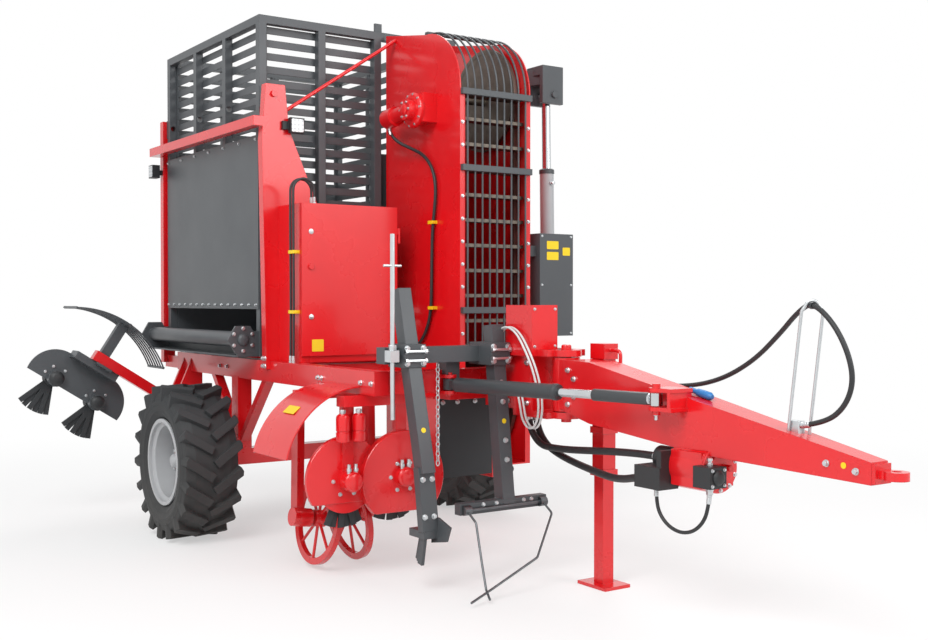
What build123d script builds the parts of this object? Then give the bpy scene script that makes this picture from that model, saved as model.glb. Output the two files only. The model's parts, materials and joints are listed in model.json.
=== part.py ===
from build123d import *
import os

# Trailed one-row sugar beet harvester with a tipping bunker.
# Millimetres; +X forward along the drawbar, +Y to the machine's left, +Z up.
# Everything is drawn with the axle above X = 0 and the ground at Z = 0,
# then the whole machine is moved so that the middle of its footprint is the origin.

# Wheels and axle
TYRE_R = 570
TYRE_W = 430
RIM_R = 305
WHEEL_Y = 1215
AXLE_Z = TYRE_R
SPINDLE_R = 42
RUN_GAP = 0.4

# Main frame
RAIL_W = 100
RAIL_H = 150
RAIL_TOP = 1320
RIGHT_RAIL_Y = -780
LEFT_RAIL_Y = 900
REAR_X = -1240
CROSS_X = 2050
HEAD_Y = 200
HEAD_W = 300

# Bunker
BUNKER_X0 = -1460
BUNKER_X1 = 450
BUNKER_Y0 = -830
BUNKER_Y1 = 840
BUNKER_Z0 = 1345
BUNKER_TOP = 3830
BUNKER_POST = 60
SHEET = 6
SIDE_SHEET_Z0 = 1690
SIDE_SHEET_Z1 = 2960
SLAT_PITCH = 96
SLAT_H = 54
TIP_Y = -800
TIP_Z = 3230
TIP_PIN_R = 22
POST_X = 560
POST_T = 70
REAR_POST_X = BUNKER_X0 - 100

# Elevator tower
TOWER_X0 = 475
TOWER_X1 = 1500
TOWER_Y0 = 220
TOWER_Y1 = 840
TOWER_Z0 = 560
TOWER_BEND_Z = 3250
TOWER_BEND_R = 450
TOWER_TOP = 3800
TOWER_PLATE = 10

# Tip cylinder
CYL_X = 1100
CYL_FOOT = (1330, 1200)
CYL_HEAD = (1300, 3350)
CYL_R = 55
CYL_ROD_R = 35

# Drawbar, steering cylinder and jack
HINGE_X = 2700
HINGE_Z0 = 1030
HINGE_Z1 = 1450
HINGE_R = 32
LUG_T = 40
EYE_X = 5030
EYE_Z = 965
EYE_HOLE_R = 22
STEER_FOOT = (2150, -300)
STEER_HEAD = (3700, 0)
STEER_Z = 1225
STEER_R = 45
STEER_ROD_R = 25
JACK_X = 2850
JACK_Y = 375
JACK_TUBE = 100
JACK_LEG = 84
JACK_FOOT_T = 20

# Row unit
ROTOR_X = 1900
ROTOR_Z = 640
ROTOR_YS = (-910, -530)
SHIELD_R = 205
FLAIL_REACH = 300
DIGGER_X = 1440
DIGGER_R = 300
DIGGER_Z = 325
DIGGER_YS = (-860, -640)
DIGGER_TILT = 9

# Side cleaner: built level, then raised about its hinge to where it parks
SIDE_HINGE_X = -1000
SIDE_HINGE_Y = -950
SIDE_HINGE_Z = 900
SIDE_RAISE = 33
SIDE_ROTOR_X = -1150
SIDE_ROTOR_OUT = (520, 900)
SIDE_ROTOR_DROP = 300


def block(x0, x1, y0, y1, z0, z1):
    mid = ((x0 + x1) / 2, (y0 + y1) / 2, (z0 + z1) / 2)
    return Pos(*mid) * Box(x1 - x0, y1 - y0, z1 - z0)


def rod(start, end, radius):
    a = Vector(*start)
    b = Vector(*end)
    return Plane(origin=(a + b) * 0.5, z_dir=b - a) * Cylinder(radius, (b - a).length)


def beam(start, end, width, depth, side=(0, 1, 0)):
    a = Vector(*start)
    b = Vector(*end)
    place = Plane(origin=(a + b) * 0.5, x_dir=Vector(*side).cross(b - a), z_dir=b - a)
    return place * Box(depth, width, (b - a).length)


def pipe(points, radius, bend):
    path = FilletPolyline(*points, radius=bend)
    return sweep(Plane(origin=path @ 0, z_dir=path % 0) * Circle(radius), path)


def slab_xz(points, y0, y1):
    face = make_face(Plane.XZ * Polyline(*points, close=True))
    return Pos(0, y0, 0) * extrude(face, y1 - y0, dir=(0, 1, 0))


def slab_yz(points, x0, x1):
    face = make_face(Plane.YZ * Polyline(*points, close=True))
    return Pos(x0, 0, 0) * extrude(face, x1 - x0, dir=(1, 0, 0))


def slab_xy(points, z0, z1):
    face = make_face(Polyline(*points, close=True))
    return Pos(0, 0, z0) * extrude(face, z1 - z0, dir=(0, 0, 1))


def join(shapes):
    shapes = list(shapes)
    return shapes[0] + shapes[1:]


nodes = {}

# Wheels: industrial tyres with slanted lugs on dished steel rims.
carcass_line = Polyline(
    (RIM_R - 15, -150), (RIM_R + 60, -TYRE_W / 2 + 12), (430, -TYRE_W / 2),
    (500, -TYRE_W / 2 + 22), (525, -130), (530, 0), (525, 130), (500, TYRE_W / 2 - 22),
    (430, TYRE_W / 2), (RIM_R + 60, TYRE_W / 2 - 12), (RIM_R - 15, 150), close=True)
carcass = revolve(make_face(carcass_line), Axis.Y)
LUGS = 18
LUG_THICK = 62
LUG_SKEW = 34
lugs = []
for side in (-1, 1):
    for step in range(LUGS):
        turn = 360 / LUGS * (step + (0.5 if side > 0 else 0))
        lug = Box(120, 245, LUG_THICK)
        lugs.append(Rot(0, turn, 0) * Pos(TYRE_R - 70, side * 108, 0) * Rot(side * LUG_SKEW, 0, 0) * lug)
envelope = Rot(90, 0, 0) * Cylinder(TYRE_R, TYRE_W - 8)
lugs = [lug & envelope for lug in lugs]
tyre = join([carcass] + lugs)
rim_line = Polyline(
    (SPINDLE_R + RUN_GAP, -40), (SPINDLE_R + RUN_GAP, 60), (120, 60), (120, 40), (205, 25), (262, -20),
    (262, 150), (RIM_R - 16, 165), (RIM_R - 16, 190), (RIM_R + 12, 190), (RIM_R + 12, 176),
    (RIM_R - 15.5, 150.3), (RIM_R - 15.5, -150.3), (RIM_R + 12, -176), (RIM_R + 12, -190),
    (RIM_R - 16, -190), (RIM_R - 16, -165), (262, -150), (262, -50), (205, 5), (120, 20), (120, -40),
    close=True)
rim = revolve(make_face(rim_line), Axis.Y)
nodes["tyre_right"] = Pos(0, -WHEEL_Y, AXLE_Z) * tyre
nodes["tyre_left"] = Pos(0, WHEEL_Y, AXLE_Z) * tyre
nodes["rim_right"] = Pos(0, -WHEEL_Y, AXLE_Z) * Rot(0, 0, 180) * rim
nodes["rim_left"] = Pos(0, WHEEL_Y, AXLE_Z) * rim

# Axle beam with a spindle at each end and an end cap that holds the rim.
axle = [block(-60, 60, -WHEEL_Y + 225, WHEEL_Y - 225, AXLE_Z - 60, AXLE_Z + 60)]
for side in (-1, 1):
    axle.append(rod((0, side * (WHEEL_Y - 230), AXLE_Z), (0, side * (WHEEL_Y + 70), AXLE_Z), SPINDLE_R))
    axle.append(rod((0, side * (WHEEL_Y + 66), AXLE_Z), (0, side * (WHEEL_Y + 84), AXLE_Z), SPINDLE_R + 18))
nodes["axle"] = join(axle)

# Main frame: two rails on legs that stand on the axle, cross members, headstock.
frame = []
for rail_y in (RIGHT_RAIL_Y, LEFT_RAIL_Y):
    y0 = rail_y - RAIL_W / 2
    frame.append(block(REAR_X, CROSS_X + 75, y0, y0 + RAIL_W, RAIL_TOP - RAIL_H, RAIL_TOP))
    frame.append(block(-60, 60, rail_y - 55, rail_y + 55, AXLE_Z + 50, RAIL_TOP - RAIL_H + 10))
    for reach in (-1, 1):
        frame.append(beam((reach * 40, rail_y, AXLE_Z + 130), (reach * 520, rail_y, RAIL_TOP - 110), 70, 50))
for cross in (REAR_X + 60, 250, CROSS_X):
    frame.append(block(cross - 60, cross + 60, RIGHT_RAIL_Y, LEFT_RAIL_Y, RAIL_TOP - RAIL_H + 5, RAIL_TOP - 5))
head_y0 = HEAD_Y - HEAD_W / 2
head_y1 = HEAD_Y + HEAD_W / 2
frame.append(block(CROSS_X, HINGE_X - 150, head_y0, head_y1, HINGE_Z0 + 40, HINGE_Z1 - 40))
for low in (HINGE_Z0, HINGE_Z1 - LUG_T):
    lug = block(CROSS_X + 300, HINGE_X, head_y0, head_y1, low, low + LUG_T)
    lug += Pos(HINGE_X, HEAD_Y, low + LUG_T / 2) * Cylinder(95, LUG_T)
    frame.append(lug)
frame = join(frame)
pin_hole = rod((HINGE_X, HEAD_Y, HINGE_Z0 - 10), (HINGE_X, HEAD_Y, HINGE_Z1 + 10), HINGE_R)
steer_lugs = []
for low in (STEER_Z - 62, STEER_Z + 40):
    ear = block(CROSS_X, STEER_FOOT[0], STEER_FOOT[1] - 45, STEER_FOOT[1] + 45, low, low + 22)
    ear += Pos(STEER_FOOT[0], STEER_FOOT[1], low + 11) * Cylinder(45, 22)
    steer_lugs.append(ear)
steer_pin = rod((*STEER_FOOT, STEER_Z - 75), (*STEER_FOOT, STEER_Z + 75), 18)
cyl_shelf = block(CYL_X - 90, CYL_X + 90, LEFT_RAIL_Y + 40, CYL_FOOT[0] + 55, RAIL_TOP - 190, RAIL_TOP - 166)
cyl_web = block(CYL_X - 90, CYL_X + 90, LEFT_RAIL_Y + 40, LEFT_RAIL_Y + 62, RAIL_TOP - 190, RAIL_TOP - 20)
cyl_ears = []
for ear_x in (CYL_X - 72, CYL_X + 50):
    ear = block(ear_x, ear_x + 22, CYL_FOOT[0] - 45, CYL_FOOT[0] + 45, RAIL_TOP - 180, CYL_FOOT[1])
    ear += rod((ear_x, *CYL_FOOT), (ear_x + 22, *CYL_FOOT), 45)
    cyl_ears.append(ear)
cyl_pin = rod((CYL_X - 85, *CYL_FOOT), (CYL_X + 85, *CYL_FOOT), 18)
side_ears = []
for ear_x in (SIDE_HINGE_X - 95, SIDE_HINGE_X + 70):
    ear = slab_yz([(RIGHT_RAIL_Y - 40, RAIL_TOP - 20), (RIGHT_RAIL_Y + 40, RAIL_TOP - 20),
                   (RIGHT_RAIL_Y + 40, 960), (SIDE_HINGE_Y, SIDE_HINGE_Z - 55),
                   (SIDE_HINGE_Y - 55, SIDE_HINGE_Z), (SIDE_HINGE_Y - 20, SIDE_HINGE_Z + 55)],
                  ear_x, ear_x + 25)
    side_ears.append(ear)
side_pin = rod((SIDE_HINGE_X - 110, SIDE_HINGE_Y, SIDE_HINGE_Z), (SIDE_HINGE_X + 110, SIDE_HINGE_Y, SIDE_HINGE_Z), 20)
frame = join([frame] + steer_lugs + [steer_pin, cyl_shelf, cyl_web, cyl_pin] + cyl_ears + side_ears + [side_pin])
frame -= pin_hole
nodes["main_frame"] = frame

# Bunker posts: two red posts outside the right wall carry the tipping pins; a bar ties them.
front_post = slab_yz([(-860, RAIL_TOP - 60), (-690, RAIL_TOP - 60), (-690, 2380), (-420, 2380), (-680, 2990),
                      (-710, 3300), (-860, 3300), (-890, 2900)], POST_X, POST_X + POST_T)
front_foot = block(POST_X, POST_X + POST_T, RIGHT_RAIL_Y - 50, RIGHT_RAIL_Y + 50, RAIL_TOP - 80, RAIL_TOP + 40)
rear_post = slab_yz([(-860, RAIL_TOP - 100), (-760, RAIL_TOP - 100), (-740, 3300), (-860, 3300)],
                    REAR_POST_X, REAR_POST_X + POST_T)
rear_foot = block(REAR_POST_X, REAR_X + 40, RIGHT_RAIL_Y - 40, RIGHT_RAIL_Y + 40, RAIL_TOP - 140, RAIL_TOP - 40)
tie_bar = block(REAR_POST_X, POST_X + POST_T, -955, -885, 2995, 3065)
tie_ends = [block(REAR_POST_X, REAR_POST_X + POST_T, -955, -780, 2995, 3065),
            block(POST_X, POST_X + POST_T, -955, -800, 2995, 3065)]
pins = [rod((REAR_POST_X - 20, TIP_Y, TIP_Z), (BUNKER_X0 + 2, TIP_Y, TIP_Z), TIP_PIN_R),
        rod((BUNKER_X1 - 2, TIP_Y, TIP_Z), (POST_X + POST_T + 20, TIP_Y, TIP_Z), TIP_PIN_R)]
nodes["bunker_posts"] = join([front_post, front_foot, rear_post, rear_foot, tie_bar] + tie_ends + pins)

# Stay rod from the front post to the top of the tower.
nodes["bunker_posts"] += rod((POST_X + POST_T / 2, -710, 3110), (620, TOWER_Y0 + 0.5, 3740), 13)

# Bunker frame: corner posts, top and floor rails, bay posts, ears with the tipping bores.
P = BUNKER_POST
cage = []
post_columns = [(BUNKER_X0, BUNKER_Y0), (BUNKER_X1 - P, BUNKER_Y0), (BUNKER_X0, BUNKER_Y1 - P),
                (BUNKER_X1 - P, BUNKER_Y1 - P), (BUNKER_X1 - P, -350), (BUNKER_X1 - P, 130),
                (BUNKER_X0, -350), (BUNKER_X0, 130)]
for x, y in post_columns:
    cage.append(block(x, x + P, y, y + P, BUNKER_Z0, BUNKER_TOP))
for x in (-850, -240):
    cage.append(block(x, x + P, BUNKER_Y0, BUNKER_Y0 + P, SIDE_SHEET_Z1 - 60, BUNKER_TOP))
    cage.append(block(x, x + P, BUNKER_Y1 - P, BUNKER_Y1, BUNKER_Z0, BUNKER_TOP))
for low in (BUNKER_Z0, BUNKER_TOP - P):
    cage.append(block(BUNKER_X0, BUNKER_X0 + P, BUNKER_Y0, BUNKER_Y1, low, low + P))
    cage.append(block(BUNKER_X1 - P, BUNKER_X1, BUNKER_Y0, BUNKER_Y1, low, low + P))
    cage.append(block(BUNKER_X0, BUNKER_X1, BUNKER_Y0, BUNKER_Y0 + P, low, low + P))
    cage.append(block(BUNKER_X0, BUNKER_X1, BUNKER_Y1 - P, BUNKER_Y1, low, low + P))
for x0, x1 in ((BUNKER_X0 - 25, BUNKER_X0 + 10), (BUNKER_X1 - 10, BUNKER_X1 + 25)):
    cage.append(block(x0, x1, TIP_Y - 28, TIP_Y + 75, TIP_Z - 75, TIP_Z + 75))
cage.append(block(BUNKER_X1 - 45, BUNKER_X1 - 25, 150, 210, BUNKER_TOP - 5, BUNKER_TOP + 70))
cage = join(cage)
tip_bore = rod((BUNKER_X0 - 40, TIP_Y, TIP_Z), (BUNKER_X1 + 40, TIP_Y, TIP_Z), TIP_PIN_R + RUN_GAP)
nodes["bunker_frame"] = cage - tip_bore

# Bunker walls: slats on the front and rear, slats above sheet on the sides.
def slats(x0, x1, y0, y1, z0, z1):
    rows = []
    z = z0
    while z + SLAT_H <= z1:
        rows.append(block(x0, x1, y0, y1, z, z + SLAT_H))
        z += SLAT_PITCH
    return rows


def strips(x0, x1, y0, y1, z0, z1, places, along_x):
    rows = slats(x0, x1, y0, y1, z0, z1)
    for place in places:
        if along_x:
            rows.append(block(place - 15, place + 15, y0, y1, z0, z1))
        else:
            rows.append(block(x0, x1, place - 15, place + 15, z0, z1))
    return join(rows)


front_x = BUNKER_X1 - P - SHEET
low_z = BUNKER_Z0 + P
high_z = BUNKER_TOP - P
front_wall = strips(front_x, front_x + SHEET, BUNKER_Y0 + P, 160, low_z, high_z, (-320, 145, -755), False)
throat = block(front_x, front_x + SHEET, 160, BUNKER_Y1 - P, low_z, 2900)
nodes["bunker_front_wall"] = front_wall + throat
rear_x = BUNKER_X0 + P
rear_wall = strips(rear_x, rear_x + SHEET, BUNKER_Y0 + P, BUNKER_Y1 - P, 2400, high_z, (-320, 160, -755, 765), False)
rear_sheet = block(rear_x, rear_x + SHEET, BUNKER_Y0 + P, BUNKER_Y1 - P, low_z, 2405)
nodes["bunker_rear_wall"] = rear_wall + rear_sheet
left_y = BUNKER_Y1 - P - SHEET
left_wall = strips(rear_x + SHEET, front_x, left_y, left_y + SHEET, 2400, high_z, (-1375, -820, -210, 365), True)
left_sheet = block(rear_x + SHEET, front_x, left_y, left_y + SHEET, low_z, 2405)
nodes["bunker_left_wall"] = left_wall + left_sheet
side_y = BUNKER_Y0 + P
side_cage = strips(rear_x + SHEET, front_x, side_y, side_y + SHEET, SIDE_SHEET_Z1 - 40, high_z, (-1375, -820, -210, 365), True)
nodes["bunker_side_slats"] = side_cage
side_sheet = block(BUNKER_X0 + 10, BUNKER_X1 - 10, BUNKER_Y0 - SHEET, BUNKER_Y0, SIDE_SHEET_Z0, SIDE_SHEET_Z1)
side_top = block(rear_x + SHEET, front_x, BUNKER_Y0 - SHEET, side_y + SHEET, SIDE_SHEET_Z1 - 46, SIDE_SHEET_Z1 - 40)
nodes["bunker_side_sheet"] = side_sheet + side_top

# Bunker floor: a sloping-free sheet floor with a discharge roller along its right edge.
floor = block(rear_x, front_x + SHEET, BUNKER_Y0 + P, BUNKER_Y1 - P, BUNKER_Z0 + P - 10, BUNKER_Z0 + P)
nodes["bunker_floor"] = floor
ROLLER_Y = -950
ROLLER_Z = 1470
roller = [rod((BUNKER_X0 + 10, ROLLER_Y, ROLLER_Z), (BUNKER_X1 - 30, ROLLER_Y, ROLLER_Z), 58)]
for x in (BUNKER_X0 - 5, BUNKER_X1 - 45):
    plate = Plane(origin=(x, ROLLER_Y, ROLLER_Z), x_dir=(0, 1, 0), z_dir=(1, 0, 0)) * RegularPolygon(115, 6)
    roller.append(extrude(plate, 20, dir=(1, 0, 0)))
    roller.append(block(x, x + 20, ROLLER_Y, BUNKER_Y0 + 1, ROLLER_Z - 60, ROLLER_Z + 60))
    roller.append(block(x, x + 20, ROLLER_Y - 45, BUNKER_Y0, BUNKER_Z0, ROLLER_Z))
roller.append(block(BUNKER_X0 - 5, BUNKER_X1 - 25, ROLLER_Y - 50, BUNKER_Y0, BUNKER_Z0, BUNKER_Z0 + 12))
nodes["discharge_roller"] = join(roller)

# Tip arm: grey beam from the bunker's left wall to the head of the tip cylinder.
head_y, head_z = CYL_HEAD
arm = [block(-300, 400, BUNKER_Y1, BUNKER_Y1 + 70, 3420, 3540),
       beam((300, BUNKER_Y1 + 75, 3480), (CYL_X + 20, head_y - 30, 3490), 120, 110, (0, 0, 1)),
       block(CYL_X - 100, CYL_X - 62, head_y - 110, head_y + 90, head_z - 70, 3570),
       block(CYL_X + 62, CYL_X + 100, head_y - 110, head_y + 90, head_z - 70, 3570),
       block(CYL_X - 100, CYL_X + 100, head_y - 110, head_y + 90, 3500, 3570),
       block(330, 350, BUNKER_Y1 + 30, BUNKER_Y1 + 110, 3500, 3880),
       rod((CYL_X - 118, head_y, head_z), (CYL_X - 90, head_y, head_z), 26),
       rod((CYL_X + 90, head_y, head_z), (CYL_X + 118, head_y, head_z), 26)]
nodes["tip_arm"] = join(arm)


# Tip cylinder: barrel on the frame's shelf, rod on the arm's pin.
def reach(start, end, length):
    a = Vector(*start)
    b = Vector(*end)
    return a + (b - a).normalized() * length


cyl_a = Vector(CYL_X, *CYL_FOOT)
cyl_b = Vector(CYL_X, *CYL_HEAD)
CYL_BARREL = 1580
cyl_u = (cyl_b - cyl_a).normalized()
barrel = rod(cyl_a + cyl_u * 80, cyl_a + cyl_u * CYL_BARREL, CYL_R)
barrel -= rod(cyl_a + cyl_u * 120, cyl_a + cyl_u * (CYL_BARREL + 10), CYL_ROD_R + RUN_GAP)
barrel += rod(cyl_a + Vector(-42, 0, 0), cyl_a + Vector(42, 0, 0), 42)
barrel += beam(cyl_a, cyl_a + cyl_u * 90, 70, 60)
barrel -= rod(cyl_a + Vector(-60, 0, 0), cyl_a + Vector(60, 0, 0), 18 + RUN_GAP)
nodes["tip_barrel"] = barrel
tip_rod = rod(cyl_a + cyl_u * 160, cyl_b - cyl_u * 20, CYL_ROD_R)
tip_rod += rod(cyl_b + Vector(-52, 0, 0), cyl_b + Vector(52, 0, 0), 42)
nodes["tip_rod"] = tip_rod

# Elevator tower: two side plates with a rounded top front, back sheet and base plate.
bend_x = TOWER_X1 - TOWER_BEND_R
side_edge = [Line((TOWER_X0, TOWER_Z0), (TOWER_X1, TOWER_Z0)),
             Line((TOWER_X1, TOWER_Z0), (TOWER_X1, TOWER_BEND_Z)),
             CenterArc((bend_x, TOWER_BEND_Z), TOWER_BEND_R, 0, 90),
             Line((bend_x, TOWER_BEND_Z + TOWER_BEND_R), (TOWER_X0, TOWER_TOP)),
             Line((TOWER_X0, TOWER_TOP), (TOWER_X0, TOWER_Z0))]
side_face = make_face(Plane.XZ * Wire(side_edge))
right_plate = Pos(0, TOWER_Y0, 0) * extrude(side_face, TOWER_PLATE, dir=(0, 1, 0))
left_plate = Pos(0, TOWER_Y1 - TOWER_PLATE, 0) * extrude(side_face, TOWER_PLATE, dir=(0, 1, 0))
back = block(TOWER_X0, TOWER_X0 + TOWER_PLATE, TOWER_Y0, TOWER_Y1, TOWER_Z0, 3000)
base = block(TOWER_X0, TOWER_X1, TOWER_Y0, TOWER_Y1, TOWER_Z0, TOWER_Z0 + TOWER_PLATE)
flanges = []
for y0, y1 in ((TOWER_Y0, TOWER_Y0 + 45), (TOWER_Y1 - 45, TOWER_Y1)):
    flanges.append(block(TOWER_X1 - 10, TOWER_X1, y0, y1, TOWER_Z0, TOWER_BEND_Z))
tower_foot = block(TOWER_X1 - 700, TOWER_X1 - 580, RIGHT_RAIL_Y, TOWER_Y0 + 1, RAIL_TOP - 140, RAIL_TOP - 20)
tower_foot_left = block(TOWER_X1 - 700, TOWER_X1 - 580, TOWER_Y1 - 1, LEFT_RAIL_Y, RAIL_TOP - 140, RAIL_TOP - 20)
nodes["tower_housing"] = join([right_plate, left_plate, back, base, tower_foot, tower_foot_left] + flanges)

# Tower guard: dark rods down the open front and over the rounded top, on three cross bars.
GUARD_RODS = 9
GUARD_ROD_R = 7
guard = []
guard_x = TOWER_X1 + 14
for i in range(GUARD_RODS):
    y = TOWER_Y0 + 55 + i * (TOWER_Y1 - TOWER_Y0 - 110) / (GUARD_RODS - 1)
    arc_r = guard_x - bend_x
    path = Wire([Line((guard_x, y, 1420), (guard_x, y, TOWER_BEND_Z)),
                 Plane(origin=(0, y, 0), x_dir=(1, 0, 0), z_dir=(0, -1, 0))
                 * CenterArc((bend_x, TOWER_BEND_Z), arc_r, 0, 90)])
    guard.append(sweep(Plane(origin=(guard_x, y, 1420), z_dir=(0, 0, 1)) * Circle(GUARD_ROD_R), path))
for z in (1685, 2690, 3225):
    guard.append(block(TOWER_X1, TOWER_X1 + 32, TOWER_Y0 + 5, TOWER_Y1 - 5, z - 22, z + 22))
guard.append(block(bend_x - 20, bend_x + 20, TOWER_Y0 + 5, TOWER_Y1 - 5, TOWER_BEND_Z + TOWER_BEND_R + 5, TOWER_BEND_Z + arc_r + 8))
nodes["tower_guard"] = join(guard)

# Tower web: endless chains with cross flights that carry the beets up.
WEB_X1 = TOWER_X1 - 120
WEB_X0 = TOWER_X0 + 110
WEB_TOP = 3270
WEB_LOW = 1000
web = []
for y in (TOWER_Y0 + 30, TOWER_Y1 - 60):
    loop = SlotCenterToCenter(WEB_TOP - WEB_LOW, WEB_X1 - WEB_X0)
    inner = SlotCenterToCenter(WEB_TOP - WEB_LOW, WEB_X1 - WEB_X0 - 60)
    place = Plane(origin=((WEB_X0 + WEB_X1) / 2, y + 30, (WEB_TOP + WEB_LOW) / 2), x_dir=(0, 0, 1), z_dir=(0, -1, 0))
    web.append(extrude(place * (loop - inner), 30, dir=(0, -1, 0)))
FLIGHTS = 13
for i in range(FLIGHTS):
    z = WEB_LOW + 60 + i * (WEB_TOP - WEB_LOW - 120) / (FLIGHTS - 1)
    for x0, x1 in ((WEB_X1 - 30, WEB_X1 + 80), (WEB_X0 - 50, WEB_X0 + 30)):
        web.append(block(x0, x1, TOWER_Y0 + 32, TOWER_Y1 - 32, z, z + 24))
for z in (WEB_LOW, WEB_TOP):
    web.append(rod(((WEB_X0 + WEB_X1) / 2, TOWER_Y0 + TOWER_PLATE, z), ((WEB_X0 + WEB_X1) / 2, TOWER_Y1 - TOWER_PLATE, z), 30))
    for y in (TOWER_Y0 + 32, TOWER_Y1 - 58):
        web.append(rod(((WEB_X0 + WEB_X1) / 2, y, z), ((WEB_X0 + WEB_X1) / 2, y + 26, z), (WEB_X1 - WEB_X0) / 2 - 20))
nodes["tower_web"] = join(web)

# Tower drive: hydraulic motor and gear case on the right side plate.
DRIVE_Z = 3130
drive = [block(980, 1200, TOWER_Y0 - 120, TOWER_Y0, DRIVE_Z - 90, DRIVE_Z + 120),
         rod((1090, TOWER_Y0 - 210, DRIVE_Z), (1090, TOWER_Y0 - 100, DRIVE_Z), 75),
         rod((1090, TOWER_Y0 - 165, DRIVE_Z), (870, TOWER_Y0 - 165, DRIVE_Z - 20), 52),
         rod((900, TOWER_Y0 - 165, DRIVE_Z - 20), (780, TOWER_Y0 - 165, DRIVE_Z - 30), 72)]
nodes["tower_drive"] = join(drive)

# Valve cabinet with a hinged door, and the grey control box on the tower's left.
CAB_X0 = POST_X + POST_T
CAB_X1 = 1000
CAB_Y0 = -760
CAB_Y1 = 10
CAB_Z0 = RAIL_TOP
CAB_Z1 = 2430
DOOR_T = 14
shell = block(CAB_X0, CAB_X1 - DOOR_T - 6, CAB_Y0, CAB_Y1, CAB_Z0, CAB_Z1)
shell -= block(CAB_X0 + 20, CAB_X1, CAB_Y0 + 8, CAB_Y1 - 8, CAB_Z0 + 60, CAB_Z1 - 8)
shell += block(CAB_X0 + 60, CAB_X0 + 200, CAB_Y0 + 150, CAB_Y1 - 150, CAB_Z0 + 50, CAB_Z0 + 420)
for z in (CAB_Z0 + 200, CAB_Z1 - 260):
    shell += block(CAB_X1 - 60, CAB_X1 - 22, CAB_Y1 - 1, CAB_Y1 + 12, z, z + 60)
    shell += block(CAB_X1 - 60, CAB_X1 - DOOR_T / 2, CAB_Y1 + 6, CAB_Y1 + 18, z, z + 60)
    shell += rod((CAB_X1 - DOOR_T / 2, CAB_Y1 + 14, z), (CAB_X1 - DOOR_T / 2, CAB_Y1 + 14, z + 60), 10)
nodes["valve_cabinet"] = shell
door = block(CAB_X1 - DOOR_T, CAB_X1, CAB_Y0 - 2, CAB_Y1 - 4, CAB_Z0 + 46, CAB_Z1)
for z in (CAB_Z0 + 200, CAB_Z1 - 260):
    door += rod((CAB_X1 - DOOR_T / 2, CAB_Y1 + 14, z + 60.5), (CAB_X1 - DOOR_T / 2, CAB_Y1 + 14, z + 110), 10)
    door += block(CAB_X1 - DOOR_T, CAB_X1, CAB_Y1 - 6, CAB_Y1 + 14, z + 62, z + 108)
door += rod((CAB_X1 - 2, CAB_Y0 + 70, 1990), (CAB_X1 + 14, CAB_Y0 + 70, 1990), 22)
nodes["cabinet_door"] = door
control = block(1250, 1500, 930, 1245, 1490, 2250)
control += block(1300, 1450, TOWER_Y1, 935, 1560, 1640)
control += block(1300, 1450, TOWER_Y1, 935, 2080, 2160)
nodes["control_box"] = control
cover = block(2330, 2600, 10, 210, HINGE_Z1 - 41, 1725)
nodes["headstock_cover"] = cover

# Work lamps on the two bunker posts.
lamps = []
for x, y, z in ((POST_X + POST_T, -640, 3010),):
    lamps.append(block(x, x + 25, y - 100, y - 20, z - 30, z + 30))
    lamps.append(block(x + 20, x + 60, y - 55, y + 55, z - 55, z + 55))
nodes["front_lamp"] = join(lamps)
rear_lamp = block(REAR_POST_X + 10, REAR_POST_X + 60, -900, -860, 2840, 2880)
rear_lamp += block(REAR_POST_X - 10, REAR_POST_X + 90, -960, -895, 2810, 2920)
nodes["rear_lamp"] = rear_lamp

# Drawbar: tapered box beam on a vertical hinge pin, with a tow eye at its tip.
beam_side = [(HINGE_X + 110, HINGE_Z0 + 55), (HINGE_X + 110, HINGE_Z1 - 55), (3040, 1390), (4940, 1020), (4940, 915),
             (3920, 945), (3040, 1030)]
beam_plan = [(HINGE_X + 100, HEAD_Y - 110), (3900, HEAD_Y - 95), (4950, HEAD_Y - 60), (4950, HEAD_Y + 60),
             (3900, HEAD_Y + 95), (HINGE_X + 100, HEAD_Y + 110)]
bar = slab_xz(beam_side, HEAD_Y - 150, HEAD_Y + 150) & slab_xy(beam_plan, 800, 1500)
hub = Pos(HINGE_X, HEAD_Y, (HINGE_Z0 + HINGE_Z1) / 2) * Cylinder(85, HINGE_Z1 - HINGE_Z0 - 2 * LUG_T - 10)
neck = block(HINGE_X, HINGE_X + 130, HEAD_Y - 80, HEAD_Y + 80, HINGE_Z0 + 60, HINGE_Z1 - 60)
pin = rod((HINGE_X, HEAD_Y, HINGE_Z0 - 25), (HINGE_X, HEAD_Y, HINGE_Z1 + 20), HINGE_R - RUN_GAP)
clevis = [block(STEER_HEAD[0] - 40, STEER_HEAD[0] + 130, -20, HEAD_Y - 60, STEER_Z + 40, STEER_Z + 62),
          block(STEER_HEAD[0] - 40, STEER_HEAD[0] + 130, -20, HEAD_Y - 60, STEER_Z - 62, STEER_Z - 40),
          block(STEER_HEAD[0] + 100, STEER_HEAD[0] + 122, -20, HEAD_Y - 60, STEER_Z - 62, STEER_Z + 62),
          rod((*STEER_HEAD, STEER_Z - 84), (*STEER_HEAD, STEER_Z - 50), 22),
          rod((*STEER_HEAD, STEER_Z + 50), (*STEER_HEAD, STEER_Z + 84), 22)]
clevis_ears = []
for low in (STEER_Z - 62, STEER_Z + 40):
    clevis_ears.append(Pos(STEER_HEAD[0], STEER_HEAD[1], low + 11) * Cylinder(40, 22))
nodes["drawbar"] = join([bar, hub, neck, pin] + clevis + clevis_ears)
eye = Pos(EYE_X, HEAD_Y, EYE_Z) * (Cylinder(56, 40) - Cylinder(EYE_HOLE_R, 60))
eye += block(4941, EYE_X - 40, HEAD_Y - 35, HEAD_Y + 35, EYE_Z - 20, EYE_Z + 20)
eye += block(4940, 4960, HEAD_Y - 58, HEAD_Y + 58, 920, 1012)
nodes["drawbar"] += eye

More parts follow.
